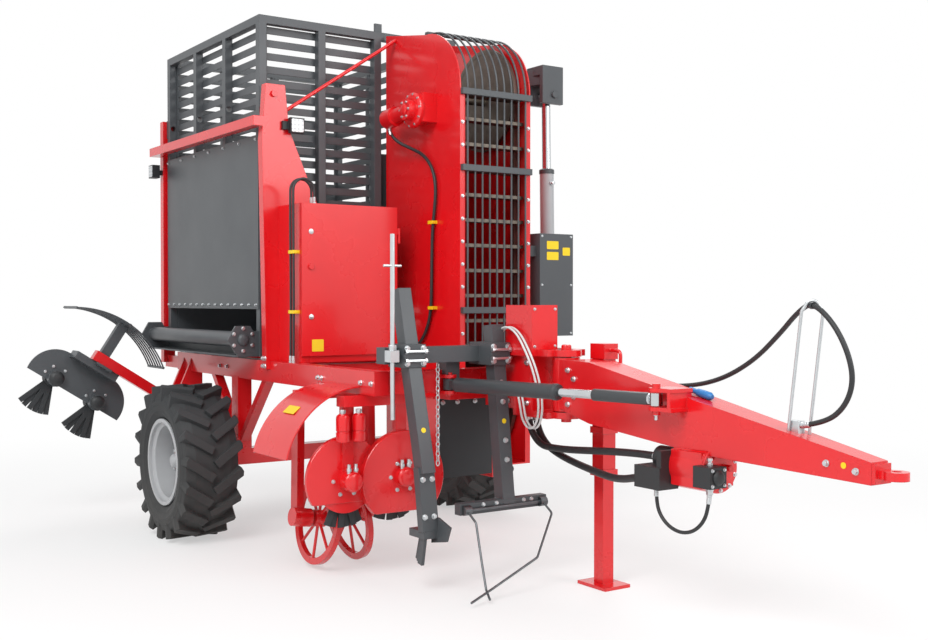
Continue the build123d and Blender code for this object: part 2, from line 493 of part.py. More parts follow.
# Steering cylinder between the front cross member and the drawbar.
steer_a = Vector(*STEER_FOOT, STEER_Z)
steer_b = Vector(*STEER_HEAD, STEER_Z)
steer_u = (steer_b - steer_a).normalized()
STEER_BARREL = 900
barrel = rod(steer_a + steer_u * 70, steer_a + steer_u * STEER_BARREL, STEER_R)
barrel -= rod(steer_a + steer_u * 90, steer_a + steer_u * (STEER_BARREL + 10), STEER_ROD_R + RUN_GAP)
barrel += rod(steer_a + Vector(0, 0, -34), steer_a + Vector(0, 0, 34), 40)
barrel += beam(steer_a, steer_a + steer_u * 80, 50, 60, (0, 0, 1))
barrel -= rod(steer_a + Vector(0, 0, -50), steer_a + Vector(0, 0, 50), 18 + RUN_GAP)
nodes["steer_barrel"] = barrel
steer_rod = rod(steer_a + steer_u * 300, steer_b - steer_u * 20, STEER_ROD_R)
steer_rod += rod(steer_b - steer_u * 420, steer_b - steer_u * 30, STEER_ROD_R + 6)
steer_rod += rod(steer_b + Vector(0, 0, -34), steer_b + Vector(0, 0, 34), 36)
nodes["steer_rod"] = steer_rod

# Jack: square tube on the drawbar's left side, crank head on top, telescoping leg with a foot.
half = JACK_TUBE / 2
tube_low = 680
jack = block(JACK_X - half, JACK_X + half, JACK_Y - half, JACK_Y + half, tube_low, 1400)
slot = JACK_LEG / 2 + RUN_GAP
jack -= block(JACK_X - slot, JACK_X + slot, JACK_Y - slot, JACK_Y + slot, tube_low - 10, 1390)
for z in (tube_low, 940):
    collar = block(JACK_X - half - 10, JACK_X + half + 10, JACK_Y - half - 10, JACK_Y + half + 10, z, z + 40)
    collar -= block(JACK_X - half + 2, JACK_X + half - 2, JACK_Y - half + 2, JACK_Y + half - 2, z - 5, z + 45)
    jack += collar
jack += block(JACK_X - 60, JACK_X + 60, HEAD_Y + 60, JACK_Y - half + 2, 1130, 1330)
jack += block(JACK_X - 65, JACK_X + 65, JACK_Y - 55, JACK_Y + 55, 1395, 1490)
jack += pipe([(JACK_X + 60, JACK_Y, 1450), (JACK_X + 150, JACK_Y, 1450), (JACK_X + 150, JACK_Y, 1330)], 11, 30)
nodes["jack_tube"] = jack
leg = block(JACK_X - JACK_LEG / 2, JACK_X + JACK_LEG / 2, JACK_Y - JACK_LEG / 2, JACK_Y + JACK_LEG / 2, 10, 900)
leg += block(JACK_X - 130, JACK_X + 130, JACK_Y - 100, JACK_Y + 100, 0, JACK_FOOT_T)
nodes["jack_leg"] = leg

# Pump gear case under the drawbar with its pumps and the input shaft that faces the tractor.
GEAR_X = 3850
GEAR_Z = 880
gear = [block(GEAR_X - 110, GEAR_X + 110, HEAD_Y - 130, HEAD_Y + 110, GEAR_Z - 110, GEAR_Z + 80),
        rod((GEAR_X - 120, HEAD_Y - 10, GEAR_Z - 10), (GEAR_X + 120, HEAD_Y - 10, GEAR_Z - 10), 130),
        block(GEAR_X - 70, GEAR_X + 70, HEAD_Y - 80, HEAD_Y + 80, GEAR_Z, 980),
        rod((GEAR_X + 110, HEAD_Y, GEAR_Z), (GEAR_X + 200, HEAD_Y, GEAR_Z), 17.5)]
nodes["pump_gearbox"] = join(gear)
pumps = [block(GEAR_X - 310, GEAR_X - 115, HEAD_Y - 210, HEAD_Y - 70, GEAR_Z - 140, GEAR_Z - 20),
         rod((GEAR_X - 280, HEAD_Y - 40, GEAR_Z + 10), (GEAR_X - 118, HEAD_Y - 40, GEAR_Z + 10), 65),
         block(GEAR_X - 150, GEAR_X - 115, HEAD_Y - 200, HEAD_Y + 30, GEAR_Z - 130, GEAR_Z + 70)]
nodes["pumps"] = join(pumps)
nodes["charge_pump"] = block(GEAR_X + 110, GEAR_X + 230, HEAD_Y - 190, HEAD_Y - 70, GEAR_Z - 90, GEAR_Z + 20)

# Hose hanger: bent wire that stands on the drawbar near its tip.
hanger = pipe([(4440, HEAD_Y - 30, 1090), (4520, HEAD_Y - 30, 1700), (4560, HEAD_Y, 1780), (4600, HEAD_Y + 30, 1700),
               (4520, HEAD_Y + 30, 1090)], 8, 30)
nodes["hose_hanger"] = hanger

# Row unit tool bar with two leaning posts, clamps and a feeler bar.
topper = [block(2150, 2250, -830, 40, 1370, 1470),
          block(CROSS_X, 2160, -330, -230, RAIL_TOP - 60, 1460),
          beam((2170, -670, 1820), (2420, -650, 720), 90, 90),
          beam((2300, -70, 1600), (2400, -50, 520), 90, 90),
          block(2140, 2330, -740, -590, 1350, 1490),
          block(2140, 2380, -140, 5, 1350, 1490),
          block(2390, 2450, -420, 240, 450, 520),
          beam((2380, -50, 700), (2420, -50, 480), 90, 70),
          beam((2400, -650, 760), (2440, -640, 380), 110, 60)]
nodes["topper_frame"] = join(topper)
knife = [slab_xz([(2400, 460), (2470, 460), (2600, 420), (2560, 330), (2400, 300)], -596, -580),
         block(2300, 2470, -690, -590, 340, 385)]
for i, y in enumerate((-670, -640, -610)):
    knife.append(beam((2440 - i * 50, y, 380), (2400 - i * 60, y, 180), 20, 45))
nodes["topper_knife"] = join(knife)
spindle = [rod((2290, -800, 1040), (2290, -800, 2150), 14), rod((2290, -860, 1960), (2290, -740, 1960), 8),
           block(2250, 2320, -830, -770, 1385, 1455)]
nodes["depth_spindle"] = join(spindle)

# Row feelers: long sprung wires that trail to the ground.
feelers = []
for y0, y1, out in ((-380, -470, 0), (200, -600, 60)):
    coil = [rod((2460, y0 - 25, 480), (2460, y0 + 25, 480), 30), block(2440, 2462, y0 - 15, y0 + 15, 465, 495)]
    wire = pipe([(2480, y0, 470), (2560, y0, 420), (2660 + out, y0 + (y1 - y0) * 0.3, 200),
                 (2760, y0 + (y1 - y0) * 0.75, 70), (2830, y1, 30)], 7, 40)
    feelers += coil + [wire]
feelers.append(rod((2460, -380, 480), (2460, 200, 480), 10))
nodes["row_feelers"] = join(feelers)

# Row hood: a curved red sheet over the flail rotors, hung from the right rail.
hood_end = RIGHT_RAIL_Y - RAIL_W / 2
hood_arc = ThreePointArc((-1340, 800), (-1185, 1075), (hood_end, 1225))
hood_in = ThreePointArc((-1330, 800), (-1178, 1068), (hood_end, 1215))
hood_face = make_face(Plane.YZ * Wire([hood_arc, Line((hood_end, 1225), (hood_end, 1215)), hood_in,
                                      Line((-1330, 800), (-1340, 800))]))
hood = Pos(1480, 0, 0) * extrude(hood_face, 480, dir=(1, 0, 0))
nodes["row_hood"] = hood

# Rotor carrier: red round shields with motors, hung from the hood and the cross member.
carrier = []
for y in ROTOR_YS:
    carrier.append(rod((ROTOR_X, y, ROTOR_Z), (ROTOR_X + 12, y, ROTOR_Z), SHIELD_R))
    carrier.append(rod((ROTOR_X + 10, y, ROTOR_Z), (ROTOR_X + 110, y, ROTOR_Z), 62))
    carrier.append(block(ROTOR_X - 1, ROTOR_X + 40, y - 40, y + 40, ROTOR_Z, 1110))
    carrier.append(rod((ROTOR_X - 130, y, ROTOR_Z), (ROTOR_X + 5, y, ROTOR_Z), 20))
carrier.append(block(ROTOR_X, CROSS_X - 55, -970, -470, 1100, RAIL_TOP - RAIL_H))
nodes["rotor_carrier"] = join(carrier)


# Flail rotors: hubs on the motor shafts with rubber straps that hang at rest.
def flail_rotor(x, y, z, plane_x):
    reel = [rod((x - 110, y, z), (x - 20, y, z), 70)]
    for i, lean in enumerate((-14, -8, -2, 4, 9, 15)):
        strap = Pos(0, 0, -(FLAIL_REACH + 40) / 2) * Box(12, 40, FLAIL_REACH - 40)
        reel.append(Pos(x + plane_x - 15 * (i % 2), y, z) * Rot(lean * 1.6, 0, 0) * strap)
    reel = join(reel)
    return reel - rod((x - 140, y, z), (x + 20, y, z), 20 + RUN_GAP)


nodes["flail_rotor_outer"] = flail_rotor(ROTOR_X, ROTOR_YS[0], ROTOR_Z, -30)
nodes["flail_rotor_inner"] = flail_rotor(ROTOR_X, ROTOR_YS[1], ROTOR_Z, -80)

# Lifting wheels: spoked rings that grip the beet, leaning toward each other at the ground.
DIGGER_TUBE = 22


def digger(sign):
    ring = revolve(Pos(DIGGER_R - DIGGER_TUBE, 0) * Rectangle(2 * DIGGER_TUBE, 1.6 * DIGGER_TUBE), Axis.Y)
    spokes = [Rot(0, i * 45, 0) * rod((30, 0, 0), (DIGGER_R - 20, 0, 0), 10) for i in range(8)]
    wheel = join([ring, Rot(90, 0, 0) * Cylinder(55, 80)] + spokes)
    wheel -= Rot(90, 0, 0) * Cylinder(20 + RUN_GAP, 120)
    return wheel


digger_axes = {}
for name, y, sign in (("lifting_wheel_outer", DIGGER_YS[0], 1), ("lifting_wheel_inner", DIGGER_YS[1], -1)):
    place = Pos(DIGGER_X, y, DIGGER_Z) * Rot(-sign * DIGGER_TILT, 0, 0)
    nodes[name] = place * digger(sign)

# Lifter frame: legs from the frame to the lifting wheels' axles, with their motors.
lifter = []
for y, sign, rail_y in ((DIGGER_YS[0], 1, -960), (DIGGER_YS[1], -1, -500)):
    place = Pos(DIGGER_X, y, DIGGER_Z) * Rot(-sign * DIGGER_TILT, 0, 0)
    lifter.append(place * (Rot(90, 0, 0) * Pos(0, 0, sign * 25) * Cylinder(20, 150)))
    lifter.append(place * (Rot(90, 0, 0) * Pos(0, 0, sign * 130) * Cylinder(60, 130)))
    lifter.append(beam((DIGGER_X - 30, rail_y - sign * 40, DIGGER_Z), (DIGGER_X - 30, rail_y - sign * 30, 1150), 50, 90))
lifter.append(block(DIGGER_X - 75, DIGGER_X + 15, -1010, -440, 1110, RAIL_TOP - RAIL_H))
nodes["lifter_frame"] = join(lifter)

# Intake: red plates that lead to the tower's foot, closed in front by a rubber curtain.
intake = [block(TOWER_X1, 1900, TOWER_Y0 - 10, TOWER_Y0, TOWER_Z0, 1120),
          block(TOWER_X1 - 20, 1900, -250, TOWER_Y0, 1110, 1125),
          block(1880, CROSS_X, -230, 200, 1115, RAIL_TOP - 100),
          block(TOWER_X1 - 10, TOWER_X1 + 1, TOWER_Y0 - 10, TOWER_Y0 + 40, TOWER_Z0, 1120)]
nodes["intake_plates"] = join(intake)
nodes["rubber_curtain"] = block(1901, 1911, -220, 200, 590, 1120)

# Side cleaner: hinged arm with shields and a wire guard, and two flail rotors.
raise_up = Pos(0, SIDE_HINGE_Y, SIDE_HINGE_Z) * Rot(-SIDE_RAISE, 0, 0) * Pos(0, -SIDE_HINGE_Y, -SIDE_HINGE_Z)
out0, out1 = (SIDE_HINGE_Y - out for out in SIDE_ROTOR_OUT)
rotor_z = SIDE_HINGE_Z - SIDE_ROTOR_DROP
side = [rod((SIDE_HINGE_X - 65, SIDE_HINGE_Y, SIDE_HINGE_Z), (SIDE_HINGE_X + 65, SIDE_HINGE_Y, SIDE_HINGE_Z), 45),
        block(SIDE_HINGE_X - 40, SIDE_HINGE_X + 40, SIDE_HINGE_Y - 780, SIDE_HINGE_Y, SIDE_HINGE_Z - 40, SIDE_HINGE_Z + 40)]
side = join(side) - rod((SIDE_HINGE_X - 80, SIDE_HINGE_Y, SIDE_HINGE_Z), (SIDE_HINGE_X + 80, SIDE_HINGE_Y, SIDE_HINGE_Z), 20 + RUN_GAP)
nodes["side_arm"] = raise_up * side
shield = []
for y in (out0, out1):
    half_disc = rod((SIDE_ROTOR_X - 6, y, rotor_z), (SIDE_ROTOR_X + 6, y, rotor_z), 230)
    half_disc &= block(SIDE_ROTOR_X - 10, SIDE_ROTOR_X + 10, y - 300, y + 300, rotor_z - 40, rotor_z + 300)
    shield.append(half_disc)
    shield.append(rod((SIDE_ROTOR_X, y, rotor_z), (SIDE_ROTOR_X + 60, y, rotor_z), 65))
    shield.append(rod((SIDE_ROTOR_X - 150, y, rotor_z), (SIDE_ROTOR_X, y, rotor_z), 20))
shield.append(block(SIDE_ROTOR_X - 6, SIDE_HINGE_X + 10, out1, out0, SIDE_HINGE_Z - 100, SIDE_HINGE_Z - 40))
shield.append(block(SIDE_HINGE_X - 60, SIDE_HINGE_X + 60, out1 + 160, out0 - 80, SIDE_HINGE_Z - 60, SIDE_HINGE_Z - 40))
shield.append(block(SIDE_ROTOR_X - 6, SIDE_ROTOR_X + 6, out1, out0, rotor_z + 60, SIDE_HINGE_Z - 50))
nodes["side_shield"] = raise_up * join(shield)
nodes["side_rotor_inner"] = raise_up * flail_rotor(SIDE_ROTOR_X - 10, out0, rotor_z, -40)
nodes["side_rotor_outer"] = raise_up * flail_rotor(SIDE_ROTOR_X - 10, out1, rotor_z, -85)
guard_mid_y = (out0 + out1) / 2
guard = [block(SIDE_HINGE_X - 30, SIDE_HINGE_X + 30, guard_mid_y - 40, guard_mid_y + 40, SIDE_HINGE_Z + 40, SIDE_HINGE_Z + 330)]
for i in range(7):
    x = SIDE_HINGE_X - 200 + i * 60
    arc = Plane(origin=(x, 0, 0), x_dir=(0, 1, 0), z_dir=(1, 0, 0)) * ThreePointArc(
        (guard_mid_y - 420, SIDE_HINGE_Z + 220), (guard_mid_y, SIDE_HINGE_Z + 330), (guard_mid_y + 420, SIDE_HINGE_Z + 180))
    guard.append(sweep(Plane(origin=arc @ 0, z_dir=arc % 0) * Circle(6), arc))
for share in (0, 0.5, 1):
    at = arc @ share
    guard.append(block(SIDE_HINGE_X - 205, SIDE_HINGE_X + 165, at.Y - 8, at.Y + 8, at.Z - 8, at.Z + 8))
nodes["side_guard"] = raise_up * join(guard)

# Each piece is notched where it sits on the piece that carries it.
seats = [("main_frame", "axle"), ("bunker_floor", "bunker_frame"), ("bunker_side_sheet", "bunker_frame"),
         ("discharge_roller", "bunker_frame"), ("bunker_posts", "main_frame"), ("bunker_posts", "tower_housing"),
         ("hose_hanger", "drawbar"), ("jack_tube", "drawbar"),
         ("pump_gearbox", "drawbar"), ("pumps", "pump_gearbox"), ("charge_pump", "pump_gearbox"),
         ("headstock_cover", "main_frame"), ("tower_housing", "main_frame"), ("intake_plates", "main_frame"),
         ("intake_plates", "tower_housing"), ("rubber_curtain", "intake_plates"), ("lifter_frame", "main_frame"),
         ("row_hood", "main_frame"), ("rotor_carrier", "main_frame"), ("rotor_carrier", "row_hood"),
         ("topper_frame", "main_frame"), ("topper_knife", "topper_frame"), ("row_feelers", "topper_frame"),
         ("depth_spindle", "topper_frame"), ("front_lamp", "bunker_posts"), ("valve_cabinet", "bunker_posts"),
         ("side_shield", "side_arm"), ("side_guard", "side_arm"), ("tower_drive", "tower_housing")]
for piece, carrier in seats:
    nodes[piece] = nodes[piece] - nodes[carrier]

# Move the whole machine so that its footprint is centred on the origin, and write each piece.
boxes = [shape.bounding_box() for shape in nodes.values()]
mid_x = (min(b.min.X for b in boxes) + max(b.max.X for b in boxes)) / 2
mid_y = (min(b.min.Y for b in boxes) + max(b.max.Y for b in boxes)) / 2
low_z = min(b.min.Z for b in boxes)
SHIFT = Vector(-mid_x, -mid_y, -low_z)
os.makedirs("parts", exist_ok=True)
for name, shape in nodes.items():
    export_step(Pos(*SHIFT) * shape, f"parts/{name}.step")
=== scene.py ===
import bpy
import json
import math
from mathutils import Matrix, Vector


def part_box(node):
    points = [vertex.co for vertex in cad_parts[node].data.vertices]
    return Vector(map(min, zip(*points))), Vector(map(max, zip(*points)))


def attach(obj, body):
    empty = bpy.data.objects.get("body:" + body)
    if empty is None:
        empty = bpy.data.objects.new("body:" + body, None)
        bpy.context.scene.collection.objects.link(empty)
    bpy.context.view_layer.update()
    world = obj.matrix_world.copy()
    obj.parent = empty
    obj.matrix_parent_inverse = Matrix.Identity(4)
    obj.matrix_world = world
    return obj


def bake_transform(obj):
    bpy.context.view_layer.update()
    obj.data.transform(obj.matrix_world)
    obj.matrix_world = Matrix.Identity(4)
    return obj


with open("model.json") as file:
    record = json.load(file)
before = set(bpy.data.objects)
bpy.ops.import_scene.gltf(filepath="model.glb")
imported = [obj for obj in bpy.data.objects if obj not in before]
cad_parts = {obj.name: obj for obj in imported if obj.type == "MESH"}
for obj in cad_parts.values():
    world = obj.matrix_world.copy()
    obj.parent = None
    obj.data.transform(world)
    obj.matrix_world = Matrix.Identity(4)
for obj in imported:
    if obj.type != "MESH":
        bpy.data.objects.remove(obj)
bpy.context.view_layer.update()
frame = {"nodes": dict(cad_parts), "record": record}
nodes = frame["nodes"]
slots = {}
for row in frame["record"]["subparts"]:
    slots.setdefault(row["material_slot"], []).append(row["node"])


# Red weldments: rails, axle, posts, drawbar, tower plates, cabinet, hood and shields.
# Mild steel plate and tube, shot-blasted, primed and sprayed with one gloss coat that lies smooth over
# the welds, softens every edge and keeps a fine orange peel; thin dust gathers near the ground.
def linear(colour):
    values = [int(colour[i:i + 2], 16) / 255 for i in (1, 3, 5)]
    return (*[v / 12.92 if v <= 0.04045 else ((v + 0.055) / 1.055) ** 2.4 for v in values], 1.0)


def add(tree, kind, inputs=None, **settings):
    node = tree.nodes.new(kind)
    for name, value in settings.items():
        setattr(node, name, value)
    for name, value in (inputs or {}).items():
        if isinstance(value, bpy.types.NodeSocket):
            tree.links.new(value, node.inputs[name])
        else:
            node.inputs[name].default_value = value
    return node


def paint(name, colour, deep, rough, edge=0.006, peel=0.04, grain_m=0.012, dust="#6E665C", dust_share=0.06):
    """A sprayed coat or a rubber skin: two close tones in clouds, soft edges, a fine grain, dust low down."""
    cloud_m = 0.35
    speck_m = 0.06
    dust_top_m = 1.0
    material = bpy.data.materials.new(name)
    material.use_nodes = True
    tree = material.node_tree
    surface = tree.nodes["Principled BSDF"]
    place = add(tree, "ShaderNodeTexCoord").outputs["Object"]
    cloud = add(tree, "ShaderNodeTexNoise", {"Vector": place, "Scale": 1 / cloud_m, "Detail": 4.0})
    tone = add(tree, "ShaderNodeMixRGB", {"Fac": cloud.outputs["Fac"], "Color1": linear(colour),
                                          "Color2": linear(deep)})
    height = add(tree, "ShaderNodeSeparateXYZ", {"Vector": place}).outputs["Z"]
    low = add(tree, "ShaderNodeMapRange", {"Value": height, "From Min": dust_top_m, "From Max": 0.0,
                                           "To Min": 0.0, "To Max": dust_share})
    speck = add(tree, "ShaderNodeTexNoise", {"Vector": place, "Scale": 1 / speck_m, "Detail": 6.0})
    share = add(tree, "ShaderNodeMath", {0: low.outputs["Result"], 1: speck.outputs["Fac"]},
                operation="MULTIPLY")
    dusty = add(tree, "ShaderNodeMixRGB", {"Fac": share.outputs[0], "Color1": tone.outputs["Color"],
                                           "Color2": linear(dust)})
    gloss = add(tree, "ShaderNodeMapRange", {"Value": cloud.outputs["Fac"], "To Min": rough - 0.04,
                                             "To Max": rough + 0.06})
    grain = add(tree, "ShaderNodeTexNoise", {"Vector": place, "Scale": 1 / grain_m, "Detail": 2.0})
    soft = add(tree, "ShaderNodeBevel", {"Radius": edge}, samples=4)
    bump = add(tree, "ShaderNodeBump", {"Height": grain.outputs["Fac"], "Strength": peel, "Distance": 0.002,
                                        "Normal": soft.outputs["Normal"]})
    tree.links.new(dusty.outputs["Color"], surface.inputs["Base Color"])
    tree.links.new(gloss.outputs["Result"], surface.inputs["Roughness"])
    tree.links.new(bump.outputs["Normal"], surface.inputs["Normal"])
    return material


def dress(material, *names):
    for name in names:
        nodes[name].data.materials.clear()
        nodes[name].data.materials.append(material)


red_coat = paint("red_gloss_coat", "#E3131B", "#CF0F17", 0.27)
red_coat.node_tree.nodes["Principled BSDF"].inputs["Coat Weight"].default_value = 0.4
red_coat.node_tree.nodes["Principled BSDF"].inputs["Coat Roughness"].default_value = 0.1
dress(red_coat, *slots["red_paint"])

# Hexagon bolts with washers, wherever plates are screwed together.
# Steel, zinc-plated: bright with a slight satin haze; each head stands on a turned washer.
axle_low, axle_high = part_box("axle")
AXLE_X = (axle_low[0] + axle_high[0]) / 2
AXLE_Y = (axle_low[1] + axle_high[1]) / 2
FRONT = (1, 0, 0)
RIGHT = (0, -1, 0)
LEFT = (0, 1, 0)
UP = (0, 0, 1)
DOWN = (0, 0, -1)


def at(x, y, z):
    """A point in the scene from millimetres ahead of the axle, left of its middle and above the ground."""
    return Vector((AXLE_X + x / 1000, AXLE_Y + y / 1000, z / 1000))


def metal(name, colour, deep, rough, scratch_m=0.02):
    """Bare or plated metal with cloudy reflections and fine scratches along its height."""
    cloud_m = 0.05
    finer = 12 / scratch_m
    material = bpy.data.materials.new(name)
    material.use_nodes = True
    tree = material.node_tree
    surface = tree.nodes["Principled BSDF"]
    surface.inputs["Metallic"].default_value = 1.0
    place = add(tree, "ShaderNodeTexCoord").outputs["Object"]
    cloud = add(tree, "ShaderNodeTexNoise", {"Vector": place, "Scale": 1 / cloud_m, "Detail": 5.0})
    tone = add(tree, "ShaderNodeMixRGB", {"Fac": cloud.outputs["Fac"], "Color1": linear(colour),
                                          "Color2": linear(deep)})
    gloss = add(tree, "ShaderNodeMapRange", {"Value": cloud.outputs["Fac"], "To Min": rough - 0.06,
                                             "To Max": rough + 0.1})
    drawn = add(tree, "ShaderNodeMapping", {"Vector": place, "Scale": (finer, finer, 1 / scratch_m)})
    scratch = add(tree, "ShaderNodeTexNoise", {"Vector": drawn.outputs["Vector"], "Scale": 1.0,
                                               "Detail": 3.0})
    soft = add(tree, "ShaderNodeBevel", {"Radius": 0.0015}, samples=4)
    bump = add(tree, "ShaderNodeBump", {"Height": scratch.outputs["Fac"], "Strength": 0.05, "Distance": 0.001,
                                        "Normal": soft.outputs["Normal"]})
    tree.links.new(tone.outputs["Color"], surface.inputs["Base Color"])
    tree.links.new(gloss.outputs["Result"], surface.inputs["Roughness"])
    tree.links.new(bump.outputs["Normal"], surface.inputs["Normal"])
    return material


def grow(name, tree, spots, values, outward=None):
    """The plain mesh that a node group makes on a list of points."""
    mesh = bpy.data.meshes.new(name + "_spots")
    mesh.from_pydata([tuple(spot) for spot in spots], [], [])
    if outward:
        ways = mesh.attributes.new("outward", "FLOAT_VECTOR", "POINT")
        for i, way in enumerate(outward):
            ways.data[i].vector = way
    carrier = bpy.data.objects.new(name + "_spots", mesh)
    bpy.context.scene.collection.objects.link(carrier)
    maker = carrier.modifiers.new("grow", "NODES")
    maker.node_group = tree
    for item in tree.interface.items_tree:
        if item.name in values:
            maker[item.identifier] = values[item.name]
    carrier.update_tag()
    view = bpy.context.evaluated_depsgraph_get()
    made = bpy.data.meshes.new_from_object(carrier.evaluated_get(view))
    bpy.data.objects.remove(carrier)
    return made


def settle(name, mesh, body):
    """Puts a finished mesh in the scene on the body that it moves with."""
    piece = bpy.data.objects.new(name, mesh)
    bpy.context.scene.collection.objects.link(piece)
    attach(piece, body)
    return piece


zinc = metal("zinc_plating", "#DDE0E1", "#BFC3C6", 0.3)
dress(zinc, *slots["zinc_steel"])
bolt_tree = bpy.data.node_groups.new("hexagon_bolts", "GeometryNodeTree")
bolt_tree.interface.new_socket("Geometry", in_out="INPUT", socket_type="NodeSocketGeometry")
bolt_tree.interface.new_socket("Across Flats", in_out="INPUT", socket_type="NodeSocketFloat")
bolt_tree.interface.new_socket("Geometry", in_out="OUTPUT", socket_type="NodeSocketGeometry")
spots_in = add(bolt_tree, "NodeGroupInput")
flats = spots_in.outputs["Across Flats"]
whole = add(bolt_tree, "GeometryNodeJoinGeometry")
# sides, radius, depth and height of the middle, as shares of the width across flats: washer, head, crown
for sides, wide, deep, rise in ((24, 0.72, 0.14, 0.07), (6, 0.577, 0.5, 0.39), (24, 0.47, 0.06, 0.66)):
    radius = add(bolt_tree, "ShaderNodeMath", {0: flats, 1: wide}, operation="MULTIPLY")
    depth = add(bolt_tree, "ShaderNodeMath", {0: flats, 1: deep}, operation="MULTIPLY")
    lift = add(bolt_tree, "ShaderNodeMath", {0: flats, 1: rise}, operation="MULTIPLY")
    step = add(bolt_tree, "GeometryNodeMeshCylinder", {"Vertices": sides, "Radius": radius.outputs[0],
                                                       "Depth": depth.outputs[0]})
    raised = add(bolt_tree, "ShaderNodeCombineXYZ", {"Z": lift.outputs[0]})
    moved = add(bolt_tree, "GeometryNodeTransform", {"Geometry": step.outputs["Mesh"],
                                                     "Translation": raised.outputs[0]})
    bolt_tree.links.new(moved.outputs["Geometry"], whole.inputs["Geometry"])
facing = add(bolt_tree, "GeometryNodeInputNamedAttribute", {"Name": "outward"}, data_type="FLOAT_VECTOR")
lean = add(bolt_tree, "FunctionNodeAlignRotationToVector", {"Vector": facing.outputs["Attribute"]}, axis="Z")
dots = add(bolt_tree, "GeometryNodeMeshToPoints", {"Mesh": spots_in.outputs["Geometry"]})
placed = add(bolt_tree, "GeometryNodeInstanceOnPoints", {"Points": dots.outputs["Points"],
                                                         "Instance": whole.outputs["Geometry"],
                                                         "Rotation": lean.outputs["Rotation"]})
real = add(bolt_tree, "GeometryNodeRealizeInstances", {"Geometry": placed.outputs["Instances"]})
plated = add(bolt_tree, "GeometryNodeSetMaterial", {"Geometry": real.outputs["Geometry"], "Material": zinc})
add(bolt_tree, "NodeGroupOutput", {"Geometry": plated.outputs["Geometry"]})


def bolts(name, body, across_mm, spots):
    """Bolt heads at pairs of a point and the direction that the head faces."""
    made = grow(name, bolt_tree, [at(*point) for point, way in spots], {"Across Flats": across_mm / 1000},
                [way for point, way in spots])
    return settle(name, made, body)


bolts("post_foot_bolts", "chassis", 24, [((x, -861, z), RIGHT) for x in (578, 612) for z in (1285, 1340)])
bolts("rail_bolts", "chassis", 24, [((x, -830, 1245), RIGHT) for x in (-300, -160, 1380, 1430, 1960, 2090)])
bolts("headstock_bolts", "chassis", 24, [((x, 50, z), RIGHT) for x in (2300, 2500) for z in (1115, 1365)])


# Wheels: industrial cross-ply tyres with deep slanted lugs on dished rims.
# Matt rubber with moulded rings on the sidewalls; the rims are sprayed light grey, each held by eight nuts.
def turned(name, body, material, start, way, profile, sides=28, hollow=False):
    """A turned part from (distance along its axis, radius) in millimetres; a hollow one is a closed ring."""
    axis = Vector(way).normalized()
    across = axis.orthogonal().normalized()
    third = axis.cross(across)
    spots = []
    for distance, radius in profile:
        for i in range(sides):
            turn = 2 * math.pi * i / sides
            ray = across * math.cos(turn) + third * math.sin(turn)
            spots.append(tuple(at(*start) + (axis * distance + ray * radius) / 1000))
    rows = len(profile)
    faces = []
    for row in range(rows if hollow else rows - 1):
        for i in range(sides):
            j = (i + 1) % sides
            near, far = row * sides, (row + 1) % rows * sides
            faces.append((near + i, near + j, far + j, far + i))
    if not hollow:
        faces.append(tuple(reversed(range(sides))))
        faces.append(tuple((rows - 1) * sides + i for i in range(sides)))
    mesh = bpy.data.meshes.new(name)
    mesh.from_pydata(spots, [], faces)
    mesh.materials.append(material)
    mesh.shade_smooth()
    mesh.set_sharp_from_angle(angle=math.radians(35))
    return settle(name, mesh, body)


def round_circle(count, begin=0.0):
    """Angles spread evenly round a circle."""
    return [2 * math.pi * i / count + begin for i in range(count)]


WHEEL_Y = 1215
AXLE_Z = 570
NUT_CIRCLE_R = 92
RING_PITCH_M = 0.045
SIDEWALL_R_M = 0.47
tyre_rubber = paint("tyre_rubber", "#333537", "#27292B", 0.72, edge=0.012, peel=0.25, grain_m=0.006,
                    dust="#7A736A", dust_share=0.25)
tree = tyre_rubber.node_tree
place = add(tree, "ShaderNodeTexCoord").outputs["Object"]
from_hub = add(tree, "ShaderNodeVectorMath", {0: place, 1: (AXLE_X, 0, AXLE_Z / 1000)}, operation="SUBTRACT")
flat = add(tree, "ShaderNodeVectorMath", {0: from_hub.outputs[0], 1: (1, 0, 1)}, operation="MULTIPLY")
radius = add(tree, "ShaderNodeVectorMath", {0: flat.outputs[0]}, operation="LENGTH").outputs["Value"]
waves = add(tree, "ShaderNodeMath", {0: radius, 1: 2 * math.pi / RING_PITCH_M}, operation="MULTIPLY")
ring = add(tree, "ShaderNodeMath", {0: waves.outputs[0]}, operation="SINE")
ridge = add(tree, "ShaderNodeMapRange", {"Value": ring.outputs[0], "From Min": 0.55, "From Max": 0.8})
inside = add(tree, "ShaderNodeMath", {0: radius, 1: SIDEWALL_R_M}, operation="LESS_THAN")
moulded = add(tree, "ShaderNodeMath", {0: ridge.outputs["Result"], 1: inside.outputs[0]},
              operation="MULTIPLY")
rings = add(tree, "ShaderNodeBump", {"Height": moulded.outputs[0], "Strength": 0.8, "Distance": 0.004,
                                     "Normal": tree.nodes["Bump"].outputs["Normal"]})
tree.links.new(rings.outputs["Normal"], tree.nodes["Principled BSDF"].inputs["Normal"])
dress(tyre_rubber, *slots["tyre_rubber"])
rim_coat = paint("light_grey_coat", "#B9BBBD", "#A9ABAE", 0.36, dust_share=0.2)
dress(rim_coat, *slots["light_grey_paint"])
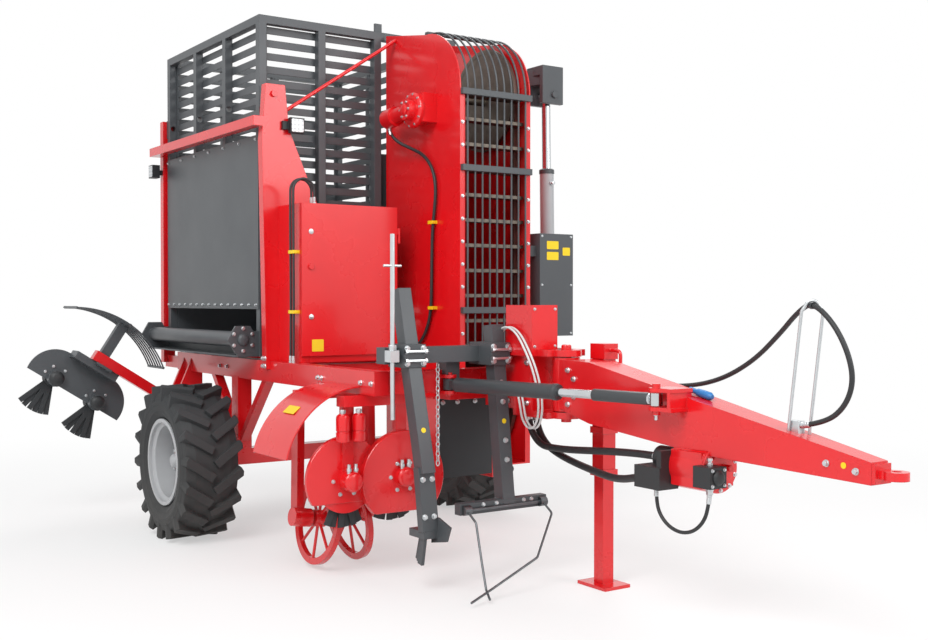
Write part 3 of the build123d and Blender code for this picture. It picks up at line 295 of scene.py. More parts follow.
for side, word in ((-1, "right"), (1, "left")):
    bolts("wheel_nuts_" + word, "wheel_" + word, 27,
          [((NUT_CIRCLE_R * math.cos(t), side * (WHEEL_Y + 60), AXLE_Z + NUT_CIRCLE_R * math.sin(t)),
            (0, side, 0)) for t in round_circle(8)])
    turned("hub_cap_" + word, "chassis", rim_coat, (0, side * (WHEEL_Y + 84), AXLE_Z),
           (0, side, 0), [(0, 55), (12, 55), (16, 52), (30, 46), (38, 34), (41, 0.5)])
    turned("valve_" + word, "wheel_" + word, zinc, (0, side * WHEEL_Y, AXLE_Z + 235),
           (0, side, 0.2), [(0, 9), (8, 9), (9, 5), (36, 5), (37, 7), (46, 7), (48, 4)], 14)

# Bunker: slats and sheets of folded steel on a square-tube cage, satin graphite coat.
# The right wall is one big sheet over the discharge roller, screwed along its edges.
grey_coat = paint("graphite_satin_coat", "#4E5255", "#43474B", 0.4)
dress(grey_coat, *slots["dark_grey_paint"])
SHEET_REAR = -1420
SHEET_FACE = -836
bolts("side_sheet_bolts", "bunker", 16,
      [((SHEET_REAR + i * 130, SHEET_FACE, 1722), RIGHT) for i in range(15)]
      + [((SHEET_REAR + i * 303, SHEET_FACE, 2930), RIGHT) for i in range(7)])
ROLLER_X = 425
ROLLER_Y = -950
ROLLER_Z = 1470
bolts("roller_bolts", "bunker", 20,
      [((ROLLER_X, ROLLER_Y + 82 * math.cos(t), ROLLER_Z + 82 * math.sin(t)), FRONT)
       for t in round_circle(6, 0.52)])
turned("roller_cap", "bunker", grey_coat, (ROLLER_X, ROLLER_Y, ROLLER_Z), FRONT,
       [(0, 44), (8, 44), (11, 41), (20, 36), (24, 28), (25, 0.5)])
bolts("arm_bolts", "bunker", 24, [((x, 910, z), LEFT) for x in (-260, -60, 140) for z in (3445, 3515)])

# Tip cylinder: drawn barrel with a screwed gland, hard-chromed rod.
# Two plated unions take its hoses.
chrome = metal("hard_chrome", "#D4D7D9", "#C2C6C9", 0.12)
dress(chrome, *slots["chrome_rod"])
tip_foot = Vector((1100, 1330, 1200))
tip_way = Vector((0, -30, 2150)).normalized()
turned("tip_gland", "tip_barrel", grey_coat, tip_foot + tip_way * 1545, tip_way,
       [(0, 54), (1, 60), (30, 60), (33, 57), (40, 48), (41, 36.5), (0, 36.5)], hollow=True)
for word, rise in (("low", 180), ("high", 1470)):
    turned("tip_port_" + word, "tip_barrel", zinc,
           tip_foot + tip_way * rise + Vector((52, 0, 0)), FRONT,
           [(0, 16), (12, 16), (13, 11), (22, 11), (23, 14), (36, 14), (38, 9)], 18)

# Elevator tower: red side plates, dark guard rods, web of chains and flights inside.
# The front flanges are screwed; the drive's gear case and motor sit on the right plate.
DRIVE_X = 1090
DRIVE_Z = 3130
bolts("tower_bolts", "chassis", 18, [((1500, y, z), FRONT) for y in (240, 820)
                                     for z in (1200, 1360, 1520, 1850, 2010, 2170, 2330, 2490, 2850, 3010)])
for name, across, count, begin, radius, face in (("drive_bolts", 16, 10, 0.1, 114, 73),
                                                 ("drive_cover_bolts", 14, 6, 0.0, 58, 10)):
    bolts(name, "chassis", across,
          [((DRIVE_X + radius * math.cos(t), face, DRIVE_Z + radius * math.sin(t)), RIGHT)
           for t in round_circle(count, begin)])
turned("drive_housing", "chassis", red_coat, (DRIVE_X, 100, DRIVE_Z), RIGHT,
       [(0, 128), (22, 128), (30, 122), (36, 104), (37, 74), (0, 74)], 48, hollow=True)
turned("drive_cap", "chassis", red_coat, (DRIVE_X, 10, DRIVE_Z), RIGHT,
       [(0, 40), (6, 40), (9, 36), (14, 22), (15, 0.5)])
worn_steel = metal("worn_web_steel", "#8A8178", "#665E56", 0.5)
dress(worn_steel, "tower_web")

# Valve cabinet and control box: folded sheet boxes; the cabinet's door has two quarter-turn locks.
# Both carry small yellow plates, which are left blank.
for word, z in (("high", 2233), ("low", 1640)):
    turned("door_lock_" + word, "cabinet_door", zinc, (1000, -690, z), FRONT,
           [(0, 19), (3, 19), (4, 16), (7, 16), (8, 8), (14, 8), (15, 6)])
yellow_plate = paint("yellow_plate", "#F2D21B", "#EBC70F", 0.45, edge=0.001, peel=0.02)


def plate(name, body, middle, way, up, wide, tall, thick, corner, material):
    """A flat plate or small block with rounded corners, lying on a face and facing one way."""
    normal = Vector(way).normalized()
    rise = Vector(up).normalized()
    side = rise.cross(normal)
    outline = []
    for right, top, begin in ((1, 1, 0), (-1, 1, 90), (-1, -1, 180), (1, -1, 270)):
        for i in range(5):
            turn = math.radians(begin + i * 22.5)
            outline.append((right * (wide / 2 - corner) + corner * math.cos(turn),
                            top * (tall / 2 - corner) + corner * math.sin(turn)))
    soft = min(1.5, thick / 3)
    spots = []
    for depth, inset in ((0.0, 0.0), (thick - soft, 0.0), (thick, soft)):
        for a, b in outline:
            a -= math.copysign(inset, a)
            b -= math.copysign(inset, b)
            spots.append(tuple(at(*middle) + (side * a + rise * b + normal * depth) / 1000))
    count = len(outline)
    faces = [tuple(reversed(range(count))), tuple(2 * count + i for i in range(count))]
    for row in (0, count):
        for i in range(count):
            j = (i + 1) % count
            faces.append((row + i, row + j, row + count + j, row + count + i))
    mesh = bpy.data.meshes.new(name)
    mesh.from_pydata(spots, [], faces)
    mesh.materials.append(material)
    return settle(name, mesh, body)


PLATE_THICK = 1.6
BOX_FACE = 1500
plate("cabinet_plate", "cabinet_door", (1000, -640, 1440), FRONT, UP, 90, 84, PLATE_THICK, 6,
      yellow_plate)
for word, y, z, wide in (("low", 1050, 2085, 110), ("high", 1050, 2165, 110), ("side", 1180, 2120, 70)):
    plate("control_plate_" + word, "chassis", (BOX_FACE, y, z), FRONT, UP, wide, 60, PLATE_THICK, 6,
          yellow_plate)
bolts("control_box_screws", "chassis", 12,
      [((BOX_FACE, y, z), FRONT) for y in (950, 1225) for z in (1510, 1870, 2230)])
bolts("cover_screws", "chassis", 13, [((2600, y, z), FRONT) for y in (30, 190) for z in (1470, 1700)])

# Work lamps: black die-cast housings with a clear lens over a grid of small reflectors.
# The reflectors' reflections are painted into the lens's colour: white in each cup's middle, grey at its rim.
# One on each bunker post, on a bracket.
lamp_black = paint("black_die_cast", "#24272A", "#1C1F21", 0.5, peel=0.15, grain_m=0.004)
dress(lamp_black, *slots["lamp_black"])
lens = bpy.data.materials.new("lens_with_painted_reflections")
lens.use_nodes = True
tree = lens.node_tree
place = add(tree, "ShaderNodeTexCoord").outputs["Object"]
# painted reflection: each reflector cup is white in its middle and greys towards its rim
cells = add(tree, "ShaderNodeTexVoronoi", {"Vector": place, "Scale": 1 / 0.03, "Randomness": 0.0})
painted_cup_glint = add(tree, "ShaderNodeMapRange", {"Value": cells.outputs["Distance"], "From Min": 0.1, "From Max": 0.7})
painted_reflector_colour = add(tree, "ShaderNodeMixRGB", {"Fac": painted_cup_glint.outputs["Result"], "Color1": linear("#FFFFFF"),
                                       "Color2": linear("#9CA3A8")})
tree.links.new(painted_reflector_colour.outputs["Color"], tree.nodes["Principled BSDF"].inputs["Base Color"])
tree.nodes["Principled BSDF"].inputs["Roughness"].default_value = 0.12
tree.nodes["Principled BSDF"].inputs["Coat Weight"].default_value = 1.0
plate("front_lens", "chassis", (690, -640, 3010), FRONT, UP, 94, 94, 4, 10, lens)
plate("rear_lens", "chassis", (-1520, -960, 2865), RIGHT, UP, 84, 94, 4, 10, lens)

# Drawbar: tapered welded box on a vertical hinge pin, with a tow eye, steering cylinder and jack.
# The hinge is bolted; the steering rod runs in a dark sleeve, and plated clips hold the pins.
bolts("hinge_bolts", "drawbar", 24,
      [((x, 90.5, z), RIGHT) for x, z in ((2850, 1335), (2905, 1285), (2850, 1130), (2905, 1180))])
bolts("tip_bolts", "drawbar", 24, [((4700, 131.5, 990), RIGHT), ((4860, 137, 970), RIGHT)])
turned("drawbar_tag", "drawbar", yellow_plate, (4794, 134.5, 990), RIGHT,
       [(0, 15), (1.5, 15), (2, 14.4)])
dark_coat = paint("dark_sleeve_coat", "#3F4346", "#35393C", 0.38)
dress(dark_coat, "steer_barrel")
steer_foot = Vector((2150, -300, 1225))
steer_head = Vector((3700, 0, 1225))
steer_way = (steer_head - steer_foot).normalized()
turned("steer_sleeve", "steer_rod", dark_coat, steer_head - steer_way * 421, steer_way,
       [(0, 26), (0, 33), (4, 34), (372, 34), (376, 33), (376, 26)], hollow=True)
turned("steer_gland", "steer_barrel", dark_coat, steer_foot + steer_way * 862, steer_way,
       [(0, 44), (2, 49), (26, 49), (29, 46), (36, 40), (37, 26.5), (0, 26.5)], hollow=True)
turned("steer_pin", "drawbar", zinc, (3700, 0, 1141), DOWN,
       [(0, 18), (3, 18), (4, 11), (26, 11), (28, 9)], 20)
turned("hinge_cap", "drawbar", red_coat, (2700, 200, 1470), UP,
       [(0, 31), (3, 31), (9, 28), (12, 22), (13, 0.5)])
turned("jack_pin", "drawbar", zinc, (2850, 435, 700), LEFT,
       [(0, 8), (4, 8), (6, 11), (14, 11), (16, 8)], 18)

# Pumps: black cast bodies screwed to the red gear case under the drawbar.
# The castings are grainy; the gear case has a round machined cover, and plated unions lead into the hoses.
cast = paint("black_cast_iron", "#2C2E30", "#232527", 0.46, edge=0.008, peel=0.3, grain_m=0.004)
dress(cast, *slots["black_cast"])
GEAR_Y = 190
GEAR_Z = 870
turned("gear_cover", "drawbar", red_coat, (3970, GEAR_Y, GEAR_Z), FRONT,
       [(0, 128), (8, 128), (12, 124), (14, 92), (24, 84), (27, 50), (28, 0.5)], 40)
# the charge pump covers part of the bolt circle
bolts("gear_bolts", "drawbar", 17,
      [((3982, GEAR_Y + 112 * math.cos(t), GEAR_Z + 112 * math.sin(t)), FRONT) for t in round_circle(10, 0.3)
       if not (math.cos(t) < -0.3 and -0.9 < math.sin(t) < 0.6)])
bolts("pump_bolts", "drawbar", 14,
      [((3540, 60 + a, 800 + b), (-1, 0, 0)) for a in (-50, 50) for b in (-44, 44)])
bolts("charge_bolts", "drawbar", 13,
      [((4080, 70 + a, 845 + b), FRONT) for a in (-44, 44) for b in (-40, 40)])
turned("charge_cover", "drawbar", cast, (4080, 70, 845), FRONT,
       [(0, 40), (6, 40), (9, 37), (18, 30), (22, 22), (23, 0.5)])
turned("charge_union", "drawbar", zinc, (4020, 70, 790), DOWN,
       [(0, 20), (2, 21), (16, 21), (18, 18), (38, 18)], 6)
turned("drain_union", "drawbar", zinc, (3640, 60, 740), DOWN,
       [(0, 17), (2, 18), (12, 18), (14, 16)], 6)
turned("charge_top_union", "drawbar", zinc, (4020, 70, 900), UP,
       [(0, 16), (14, 16), (15, 11), (26, 11), (27, 15), (40, 15), (42, 11)], 6)

# Hoses: black oil hose with a fine woven print, and two in a white sheath, all crimped into plated ferrules.
# The supply hose hangs in the hanger, yellow clamps hold those on the cabinet and the tower, and the pump
# hoses cross the drawbar's hinge.
WEAVE_M = 0.008
hose_rubber = paint("hose_rubber", "#2A2C2E", "#222426", 0.5, edge=0.002, peel=0.2, grain_m=0.003)
tree = hose_rubber.node_tree
place = add(tree, "ShaderNodeTexCoord").outputs["Object"]
weave = add(tree, "ShaderNodeTexWave", {"Vector": place, "Scale": 1 / WEAVE_M, "Distortion": 1.2,
                                        "Detail": 1.0}, bands_direction="DIAGONAL")
woven = add(tree, "ShaderNodeBump", {"Height": weave.outputs["Fac"], "Strength": 0.15, "Distance": 0.001,
                                     "Normal": tree.nodes["Bump"].outputs["Normal"]})
tree.links.new(woven.outputs["Normal"], tree.nodes["Principled BSDF"].inputs["Normal"])
white_sheath = paint("white_hose_sheath", "#DADBDA", "#C8CAC9", 0.42, edge=0.002, peel=0.1, grain_m=0.003)


def route(name, points, radius_mm, sheath=hose_rubber):
    """A hose on one smooth line, from its route's points."""
    curve = bpy.data.curves.new(name, "CURVE")
    curve.dimensions = "3D"
    curve.resolution_u = 10
    line = curve.splines.new("NURBS")
    line.points.add(len(points) - 1)
    for spot, point in zip(line.points, points):
        spot.co = (*at(*point), 1.0)
    line.order_u = 3
    line.use_endpoint_u = True
    curve.bevel_depth = radius_mm / 1000
    curve.bevel_resolution = 5
    curve.use_fill_caps = True
    curve.materials.append(sheath)
    hose = bpy.data.objects.new(name, curve)
    bpy.context.scene.collection.objects.link(hose)
    return hose


def ferrule(name, body, start, toward, radius_mm):
    """A crimped sleeve round a hose end, with a collar against the fitting."""
    r = radius_mm
    return turned(name, body, zinc, start, Vector(toward) - Vector(start),
                  [(0, r + 4), (12, r + 4), (13, r + 1), (16, r + 3), (24, r + 3), (25, r + 2), (27, r + 3),
                   (34, r + 3), (35, r + 2), (37, r + 3), (46, r + 3), (49, r + 0.5), (49, r - 0.5),
                   (0, r - 0.5)], 20, hollow=True)


# body, sheath, radius, length in metres, what the far end is in, points
free_hoses = {
    "supply_hose": ("drawbar", hose_rubber, 13, 2.159, "connector", [
        (3400, 318, 1268), (3600, 322, 1272), (3850, 335, 1325), (4080, 335, 1440), (4280, 305, 1590),
        (4425, 252, 1692), (4560, 197, 1746), (4695, 176, 1655), (4780, 178, 1520), (4808, 188, 1380),
        (4755, 196, 1255), (4640, 200, 1170), (4502, 200, 1146)]),
    "drain_hose": ("drawbar", hose_rubber, 10, 0.657, "fitting", [
        (3640, 60, 740), (3640, 60, 680), (3658, 62, 605), (3720, 66, 545), (3805, 70, 520), (3890, 72, 535),
        (3962, 71, 585), (4008, 70, 660), (4020, 70, 752)]),
}
for word, x in (("rear", 900), ("front", 945)):
    free_hoses["cabinet_hose_" + word] = ("chassis", hose_rubber, 9, 1.545, "fitting", [
        (x, -638, 2430), (x, -638, 2494), (x, -638, 2553), (x, -685, 2602), (x, -751, 2602),
        (x, -798, 2555), (x, -800, 2488), (x, -800, 2390), (x, -800, 2230), (x, -798, 2000),
        (x, -797, 1700), (x, -799, 1480), (x, -800, 1320)])
free_hoses["tower_hose"] = ("chassis", hose_rubber, 12, 2.068, "fitting", [
    (800, 58, 3032), (806, 66, 2985), (850, 110, 2925), (930, 165, 2880), (1040, 194, 2830),
    (1140, 197, 2755), (1205, 197, 2650), (1222, 196, 2530), (1200, 197, 2400), (1176, 197, 2260),
    (1167, 197, 2080), (1165, 196, 1880), (1158, 197, 1720), (1130, 197, 1600), (1070, 196, 1500),
    (990, 195, 1430), (915, 193, 1375), (872, 191, 1330), (864, 190, 1300)])
white_points = [(2300, -12, 1490), (2303, -12, 1530), (2345, -12, 1580), (2425, -12, 1590), (2510, -12, 1550),
                (2580, -12, 1470), (2635, 0, 1370), (2670, 15, 1260), (2690, 20, 1150), (2688, 20, 1050),
                (2650, 20, 975), (2580, 20, 965), (2530, 15, 1020), (2515, 12, 1100), (2490, 12, 1180),
                (2430, 20, 1225)]
# the outer white hose lies beside the inner one and a little behind it; both end in the headstock's face
for word, aside, back, length in (("inner", 0, 0, 1.318), ("outer", 20, 12, 1.329)):
    free_hoses["row_hose_" + word] = ("chassis", white_sheath, 7, length, "fitting", [
        (x - back, y - aside, z) for x, y, z in white_points] + [(2390 - back, 50, 1230)])
for name, (body, sheath, radius_mm, length, far_end, points) in free_hoses.items():
    hose = route(name, points, radius_mm, sheath)
    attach(hose, body)
    ends = [ferrule(name + "_near_end", body, points[0], points[1], radius_mm),
            ferrule(name + "_far_end", body, points[-1], points[-2], radius_mm)]
plate("supply_block", "drawbar", (3340, 313, 1268), FRONT, UP, 57, 60, 60, 6, red_coat)
plate("coupler_clip", "drawbar", (4466, 200, 1105), UP, FRONT, 46, 72, 62, 6, zinc)
blue_plastic = paint("blue_plastic_cap", "#2F7FC4", "#276FB0", 0.4, edge=0.002, peel=0.05)
turned("spare_coupler", "drawbar", blue_plastic, (3750, 200, 1274), (168, 0, -33),
       [(0, 10), (2, 14), (60, 14), (62, 20), (110, 22), (150, 22), (158, 18), (168, 12), (170, 0.5)], 20)
turned("hanger_strap", "drawbar", dark_coat, (4550, 204, 1727), (0.93, -0.36, 0.05),
       [(0, 13), (0, 16.5), (20, 16.5), (20, 13)], 24, hollow=True)
for z in (2320, 1700):
    plate(f"tower_clamp_{z}", "chassis", (1172, 220, z), RIGHT, UP, 66, 24, 42, 4, yellow_plate)
for z in (2091, 1674):
    plate(f"hose_clamp_{z}", "chassis", (922, -758, z), RIGHT, UP, 80, 24, 52, 4, yellow_plate)


def tube(name, points, radius_mm, sides=20):
    """A mesh hose along the smooth line of its route, and that line's points."""
    guide = route(name + "_guide", points, radius_mm)
    guide.data.bevel_depth = 0
    guide.data.use_fill_caps = False
    view = bpy.context.evaluated_depsgraph_get()
    line = [v.co.copy() for v in bpy.data.meshes.new_from_object(guide.evaluated_get(view)).vertices]
    bpy.data.objects.remove(guide)
    spots = []
    across = Vector(UP)
    for i, spot in enumerate(line):
        ahead = (line[min(i + 1, len(line) - 1)] - line[max(i - 1, 0)]).normalized()
        across = (across - ahead * across.dot(ahead)).normalized()
        third = ahead.cross(across)
        for j in range(sides):
            turn = 2 * math.pi * j / sides
            spots.append(tuple(spot + (across * math.cos(turn) + third * math.sin(turn)) * radius_mm / 1000))
    faces = [tuple(reversed(range(sides))), tuple((len(line) - 1) * sides + j for j in range(sides))]
    for i in range(len(line) - 1):
        for j in range(sides):
            k = (j + 1) % sides
            faces.append((i * sides + j, i * sides + k, (i + 1) * sides + k, (i + 1) * sides + j))
    mesh = bpy.data.meshes.new(name)
    mesh.from_pydata(spots, [], faces)
    mesh.materials.append(hose_rubber)
    mesh.shade_smooth()
    hose = bpy.data.objects.new(name, mesh)
    bpy.context.scene.collection.objects.link(hose)
    return hose, line


PUMP_HOSE_R = 22
for name, length, points in (
        ("upper_pump_hose", 1.321, [(2360, 171, 1030), (2360, 171, 979), (2411, 171, 891), (2499, 170, 840),
                                    (2601, 168, 838), (2703, 166, 840), (2810, 164, 846), (2930, 162, 856),
                                    (3060, 160, 867), (3200, 160, 878), (3340, 160, 886), (3460, 160, 890),
                                    (3570, 160, 890)]),
        ("lower_pump_hose", 1.335, [(2360, 232, 1030), (2360, 232, 979), (2408, 232, 888), (2492, 231, 825),
                                    (2595, 229, 790), (2705, 226, 766), (2825, 217, 748), (2960, 196, 736),
                                    (3100, 160, 730), (3230, 122, 732), (3350, 90, 745), (3450, 70, 766),
                                    (3540, 60, 785)])):
    hose, line = tube(name, points, PUMP_HOSE_R)
    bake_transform(hose)
    ends = [ferrule(name + "_near_end", "chassis", points[0], points[1], PUMP_HOSE_R),
            ferrule(name + "_far_end", "drawbar", points[-1], points[-2], PUMP_HOSE_R)]

# Row unit: dark posts on the tool bar, knife, depth spindle, sprung feelers, rubber flails and curtain.
# Plated bolts and studs hold each clamp and post, and a chain hangs from the tool bar. Two red shields, cut
# flat below, stand before the flails with a motor through each and valve bodies above.
spring_steel = metal("spring_steel", "#7C8083", "#5E6265", 0.38)
dress(spring_steel, *slots["spring_steel"])
black_rubber = paint("black_rubber", "#2F3235", "#26292B", 0.62, peel=0.12, grain_m=0.004)
dress(black_rubber, *slots["black_rubber"])
POST_TOP = 1600
POST_LEAN = 100 / 1080
POST_SPREAD = 20 / 1080
POST_WAY = (0.996, 0, 0.092)
ROTOR_Z = 640
bolts("clamp_bolts", "chassis", 26, [((2330, y, z), FRONT) for y in (-722, -608) for z in (1375, 1465)]
      + [((2380, y, z), FRONT) for y in (-124, -12) for z in (1375, 1465)])
bolts("foot_bolts", "chassis", 24, [((2430 + 40 * (760 - z) / 380, y, z), (0.994, 0, 0.105))
                                    for z in (690, 470) for y in (-680, -616)])
bolts("post_bolts", "chassis", 24,
      [((2345 + POST_LEAN * (POST_TOP - z), -68 + POST_SPREAD * (POST_TOP - z), z), POST_WAY)
       for z in (1240, 1120, 880, 760)])
bolts("curtain_bolts", "chassis", 22, [((1911, y, 1085), FRONT) for y in (-195, -80, 60, 175)])
bolts("feeler_bolts", "chassis", 18, [((2450, y, 503), FRONT) for y in (-250, -150, 60, 120)])
# the carrier's upright covers the top of the outer shield's bolt circle
bolts("shield_bolts", "chassis", 18,
      [((x, y + 95 * math.cos(t), ROTOR_Z + 95 * math.sin(t)), FRONT)
       for x, y in ((1922, -910), (1970, -530)) for t in round_circle(6)
       if x > 1930 or abs(math.cos(t)) > 0.6 or math.sin(t) < 0])


def cut_disc(name, body, material, middle, radius, low, thick, rim, sides=64):
    """A round shield that faces forward, cut flat below, with its rim turned back."""
    outline = [(radius * math.cos(t), max(radius * math.sin(t), low)) for t in round_circle(sides)]
    spots = []
    for depth, inset in ((-rim, 0), (thick - 4, 0), (thick, 4), (thick, 14), (0, 14), (-rim, 8)):
        for a, b in outline:
            spots.append(tuple(at(middle[0] + depth, middle[1] + a * (radius - inset) / radius,
                                  middle[2] + max(b * (radius - inset) / radius, low + inset))))
    faces = [tuple(range(3 * sides, 4 * sides)), tuple(reversed(range(4 * sides, 5 * sides)))]
    for near, far in ((0, 1), (1, 2), (2, 3), (4, 5), (5, 0)):
        for i in range(sides):
            j = (i + 1) % sides
            faces.append((near * sides + i, near * sides + j, far * sides + j, far * sides + i))
    mesh = bpy.data.meshes.new(name)
    mesh.from_pydata(spots, [], faces)
    mesh.materials.append(material)
    return settle(name, mesh, body)


cut_disc("rotor_shield_outer", "chassis", red_coat, (1914, -920, 650), 266, -150, 8, 22)
cut_disc("rotor_shield_inner", "chassis", red_coat, (1962, -525, 630), 300, -215, 8, 40)
for word, x, low_y, high_y in (("right", 2340, -742, -588), ("left", 2390, -142, 7)):
    reach = high_y - low_y
    for z in (1392, 1448):
        turned(f"clamp_stud_{word}_{z}", "chassis", zinc, (x, low_y, z), LEFT,
               [(0, 15), (16, 15), (17, 9), (reach - 17, 9), (reach - 16, 15), (reach, 15)], 6)
plate("hood_plate", "chassis", (1720, -1187, 1077), (0, -0.64, 0.768), FRONT, 66, 150, 3, 6,
      yellow_plate)
for word, y in (("outer", -910), ("inner", -530)):
    turned("rotor_motor_cap_" + word, "chassis", red_coat, (2010, y, ROTOR_Z), FRONT,
           [(0, 62), (5, 62), (8, 58), (22, 52), (27, 40), (29, 0.5)])
    for side in (-24, 24):
        turned(f"motor_union_{word}_{side + 24}", "chassis", zinc, (1992, y + side, 690), UP,
               [(0, 13), (14, 13), (15, 17), (33, 17), (35, 12), (58, 12), (60, 9)], 12)
for word, y in (("outer", -970), ("inner", -858)):
    turned("valve_body_" + word, "chassis", red_coat, (1981, y, 885), UP,
           [(0, 34), (4, 40), (9, 42), (60, 42), (62, 38), (70, 38), (72, 42), (150, 42), (164, 38),
            (174, 24), (176, 0.5)])
    turned("valve_union_" + word, "chassis", zinc, (1981, y, 1059), UP,
           [(0, 16), (8, 16), (9, 20), (24, 20), (27, 17)], 6)
turned("spindle_nut", "chassis", zinc, (2290, -800, 1455), UP,
       [(0, 22), (3, 25), (30, 25), (33, 22)], 6)
TAG = [(0, 16), (1.5, 16), (2, 15.4)]
turned("post_tag", "chassis", yellow_plate, (2346 + POST_LEAN * (POST_TOP - 1000), -57, 1000),
       POST_WAY, TAG)
turned("holder_tag", "chassis", yellow_plate, (2170 + 250 * 840 / 1100 + 46, -655, 980),
       (0.975, 0, 0.222), TAG)

chain_tree = bpy.data.node_groups.new("hanging_chain", "GeometryNodeTree")
chain_tree.interface.new_socket("Geometry", in_out="INPUT", socket_type="NodeSocketGeometry")
chain_tree.interface.new_socket("Link Radius", in_out="INPUT", socket_type="NodeSocketFloat")
chain_tree.interface.new_socket("Wire Radius", in_out="INPUT", socket_type="NodeSocketFloat")
chain_tree.interface.new_socket("Geometry", in_out="OUTPUT", socket_type="NodeSocketGeometry")
links_in = add(chain_tree, "NodeGroupInput")
loop = add(chain_tree, "GeometryNodeCurvePrimitiveCircle", {"Resolution": 20,
                                                            "Radius": links_in.outputs["Link Radius"]})
oval = add(chain_tree, "GeometryNodeTransform", {"Geometry": loop.outputs["Curve"],
                                                 "Rotation": (math.pi / 2, 0, 0), "Scale": (0.6, 1.0, 1.0)})
bar = add(chain_tree, "GeometryNodeCurvePrimitiveCircle", {"Resolution": 10,
                                                           "Radius": links_in.outputs["Wire Radius"]})
link = add(chain_tree, "GeometryNodeCurveToMesh", {"Curve": oval.outputs["Geometry"],
                                                   "Profile Curve": bar.outputs["Curve"]})
count = add(chain_tree, "GeometryNodeInputIndex")
quarter = add(chain_tree, "ShaderNodeMath", {0: count.outputs[0], 1: math.pi / 2}, operation="MULTIPLY")
spin = add(chain_tree, "ShaderNodeCombineXYZ", {"Z": quarter.outputs[0]})
dots = add(chain_tree, "GeometryNodeMeshToPoints", {"Mesh": links_in.outputs["Geometry"]})
hung = add(chain_tree, "GeometryNodeInstanceOnPoints", {"Points": dots.outputs["Points"],
                                                        "Instance": link.outputs["Mesh"],
                                                        "Rotation": spin.outputs[0]})
real = add(chain_tree, "GeometryNodeRealizeInstances", {"Geometry": hung.outputs["Instances"]})
plated = add(chain_tree, "GeometryNodeSetMaterial", {"Geometry": real.outputs["Geometry"], "Material": zinc})
add(chain_tree, "NodeGroupOutput", {"Geometry": plated.outputs["Geometry"]})
chain_mesh = grow("lifting_chain", chain_tree, [at(2200, -420, 1352 - i * 29) for i in range(22)],
                  {"Link Radius": 0.0185, "Wire Radius": 0.004})
chain_mesh.shade_smooth()
settle("lifting_chain", chain_mesh, "chassis")

# Side cleaner: hinged arm with two rubber flail rotors under dark shields and a wire guard, parked raised.
# Each rotor's motor is closed by a cast cap, and three bolts hold the shield round it.
SIDE_RAISE = math.radians(-33)
SIDE_HINGE_Y = -950
SIDE_HINGE_Z = 900
SIDE_DROP = 300
for word, out in (("inner", 520), ("outer", 900)):
    y = SIDE_HINGE_Y - out * math.cos(SIDE_RAISE) + SIDE_DROP * math.sin(SIDE_RAISE)
    z = SIDE_HINGE_Z - out * math.sin(SIDE_RAISE) - SIDE_DROP * math.cos(SIDE_RAISE)
    turned("side_motor_cap_" + word, "side_arm", cast, (-1090, y, z), FRONT,
           [(0, 58), (5, 58), (8, 54), (20, 46), (25, 34), (26, 0.5)])
    bolts("side_shield_bolts_" + word, "side_arm", 16,
          [((-1144, y + 95 * math.cos(t), z + 95 * math.sin(t)), FRONT) for t in (0.6, 1.7, 2.5)])

# Stage: a pale matt floor that runs out to white, with a white studio round it.
# Three soft boxes stand above and beside the machine, and the camera is at the photograph's angle.
def seen_rays(tree):
    """One for rays from the camera or a mirror, nought for the rest."""
    ray = add(tree, "ShaderNodeLightPath")
    return add(tree, "ShaderNodeMath", {0: ray.outputs["Is Camera Ray"], 1: ray.outputs["Is Glossy Ray"]},
               operation="MAXIMUM").outputs[0]


WHITE = (1, 1, 1, 1)
FLOOR_SIZE = 120.0
FADE_FROM = 3.0
FADE_TO = 9.0
half = FLOOR_SIZE / 2
floor_mesh = bpy.data.meshes.new("floor")
floor_mesh.from_pydata([(-half, -half, 0), (half, -half, 0), (half, half, 0), (-half, half, 0)], [],
                       [(0, 1, 2, 3)])
floor = bpy.data.objects.new("floor", floor_mesh)
bpy.context.scene.collection.objects.link(floor)
floor_paint = bpy.data.materials.new("pale_floor")
floor_paint.use_nodes = True
tree = floor_paint.node_tree
tree.nodes.clear()
place = add(tree, "ShaderNodeTexCoord").outputs["Object"]
away = add(tree, "ShaderNodeVectorMath", {0: place}, operation="LENGTH")
fade = add(tree, "ShaderNodeMapRange", {"Value": away.outputs["Value"], "From Min": FADE_FROM,
                                        "From Max": FADE_TO, "To Min": 0.5, "To Max": 1.0},
           interpolation_type="SMOOTHSTEP")
share = add(tree, "ShaderNodeMath", {0: seen_rays(tree), 1: fade.outputs["Result"]}, operation="MULTIPLY")
matt = add(tree, "ShaderNodeBsdfDiffuse", {"Color": linear("#F2F2F2")})
glow = add(tree, "ShaderNodeEmission", {"Color": WHITE, "Strength": 1.0})
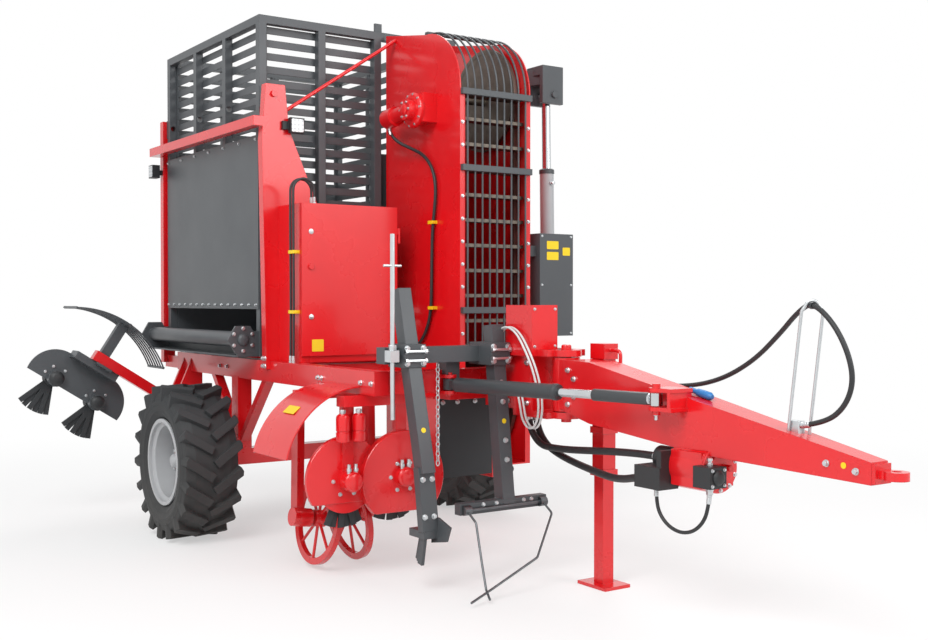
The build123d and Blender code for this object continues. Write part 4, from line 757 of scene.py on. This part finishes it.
both = add(tree, "ShaderNodeMixShader", {0: share.outputs[0], 1: matt.outputs[0], 2: glow.outputs[0]})
add(tree, "ShaderNodeOutputMaterial", {"Surface": both.outputs[0]})
floor_mesh.materials.append(floor_paint)

world = bpy.data.worlds.new("studio")
bpy.context.scene.world = world
world.use_nodes = True
tree = world.node_tree
tree.nodes.clear()
dim = add(tree, "ShaderNodeBackground", {"Color": WHITE, "Strength": 0.55})
bright = add(tree, "ShaderNodeBackground", {"Color": WHITE, "Strength": 1.0})
both = add(tree, "ShaderNodeMixShader", {0: seen_rays(tree), 1: dim.outputs[0], 2: bright.outputs[0]})
add(tree, "ShaderNodeOutputWorld", {"Surface": both.outputs[0]})

LIGHT_TARGET = Vector((0, 0, 1.5))
for name, place, size, power in (("key_box", (5.0, -7.0, 9.0), 6.0, 900),
                                 ("fill_box", (9.0, 4.0, 6.0), 5.0, 350),
                                 ("back_box", (-6.0, 5.0, 9.0), 6.0, 350)):
    lamp = bpy.data.lights.new(name, "AREA")
    lamp.size = size
    lamp.energy = power
    box = bpy.data.objects.new(name, lamp)
    box.location = place
    box.rotation_euler = (LIGHT_TARGET - Vector(place)).to_track_quat("-Z", "Y").to_euler()
    bpy.context.scene.collection.objects.link(box)

IMAGE_WIDTH_PX = 928
FOCAL_PX = 1144
SENSOR_MM = 36.0
CAMERA_AZIMUTH = 55.8
CAMERA_RISE = 0.95
camera = bpy.data.cameras.new("camera")
camera.sensor_width = SENSOR_MM
camera.lens = FOCAL_PX / IMAGE_WIDTH_PX * SENSOR_MM
camera.clip_end = 300
eye = bpy.data.objects.new("camera", camera)
bpy.context.scene.collection.objects.link(eye)
turn = math.radians(CAMERA_AZIMUTH)
rise = math.radians(CAMERA_RISE)
back = Vector((math.sin(turn) * math.cos(rise), -math.cos(turn) * math.cos(rise), math.sin(rise)))
eye.location = at(8170, -4280, 1750)
eye.rotation_euler = (-back).to_track_quat("-Z", "Y").to_euler()
bpy.context.scene.camera = eye
bpy.context.scene.view_settings.view_transform = "Standard"
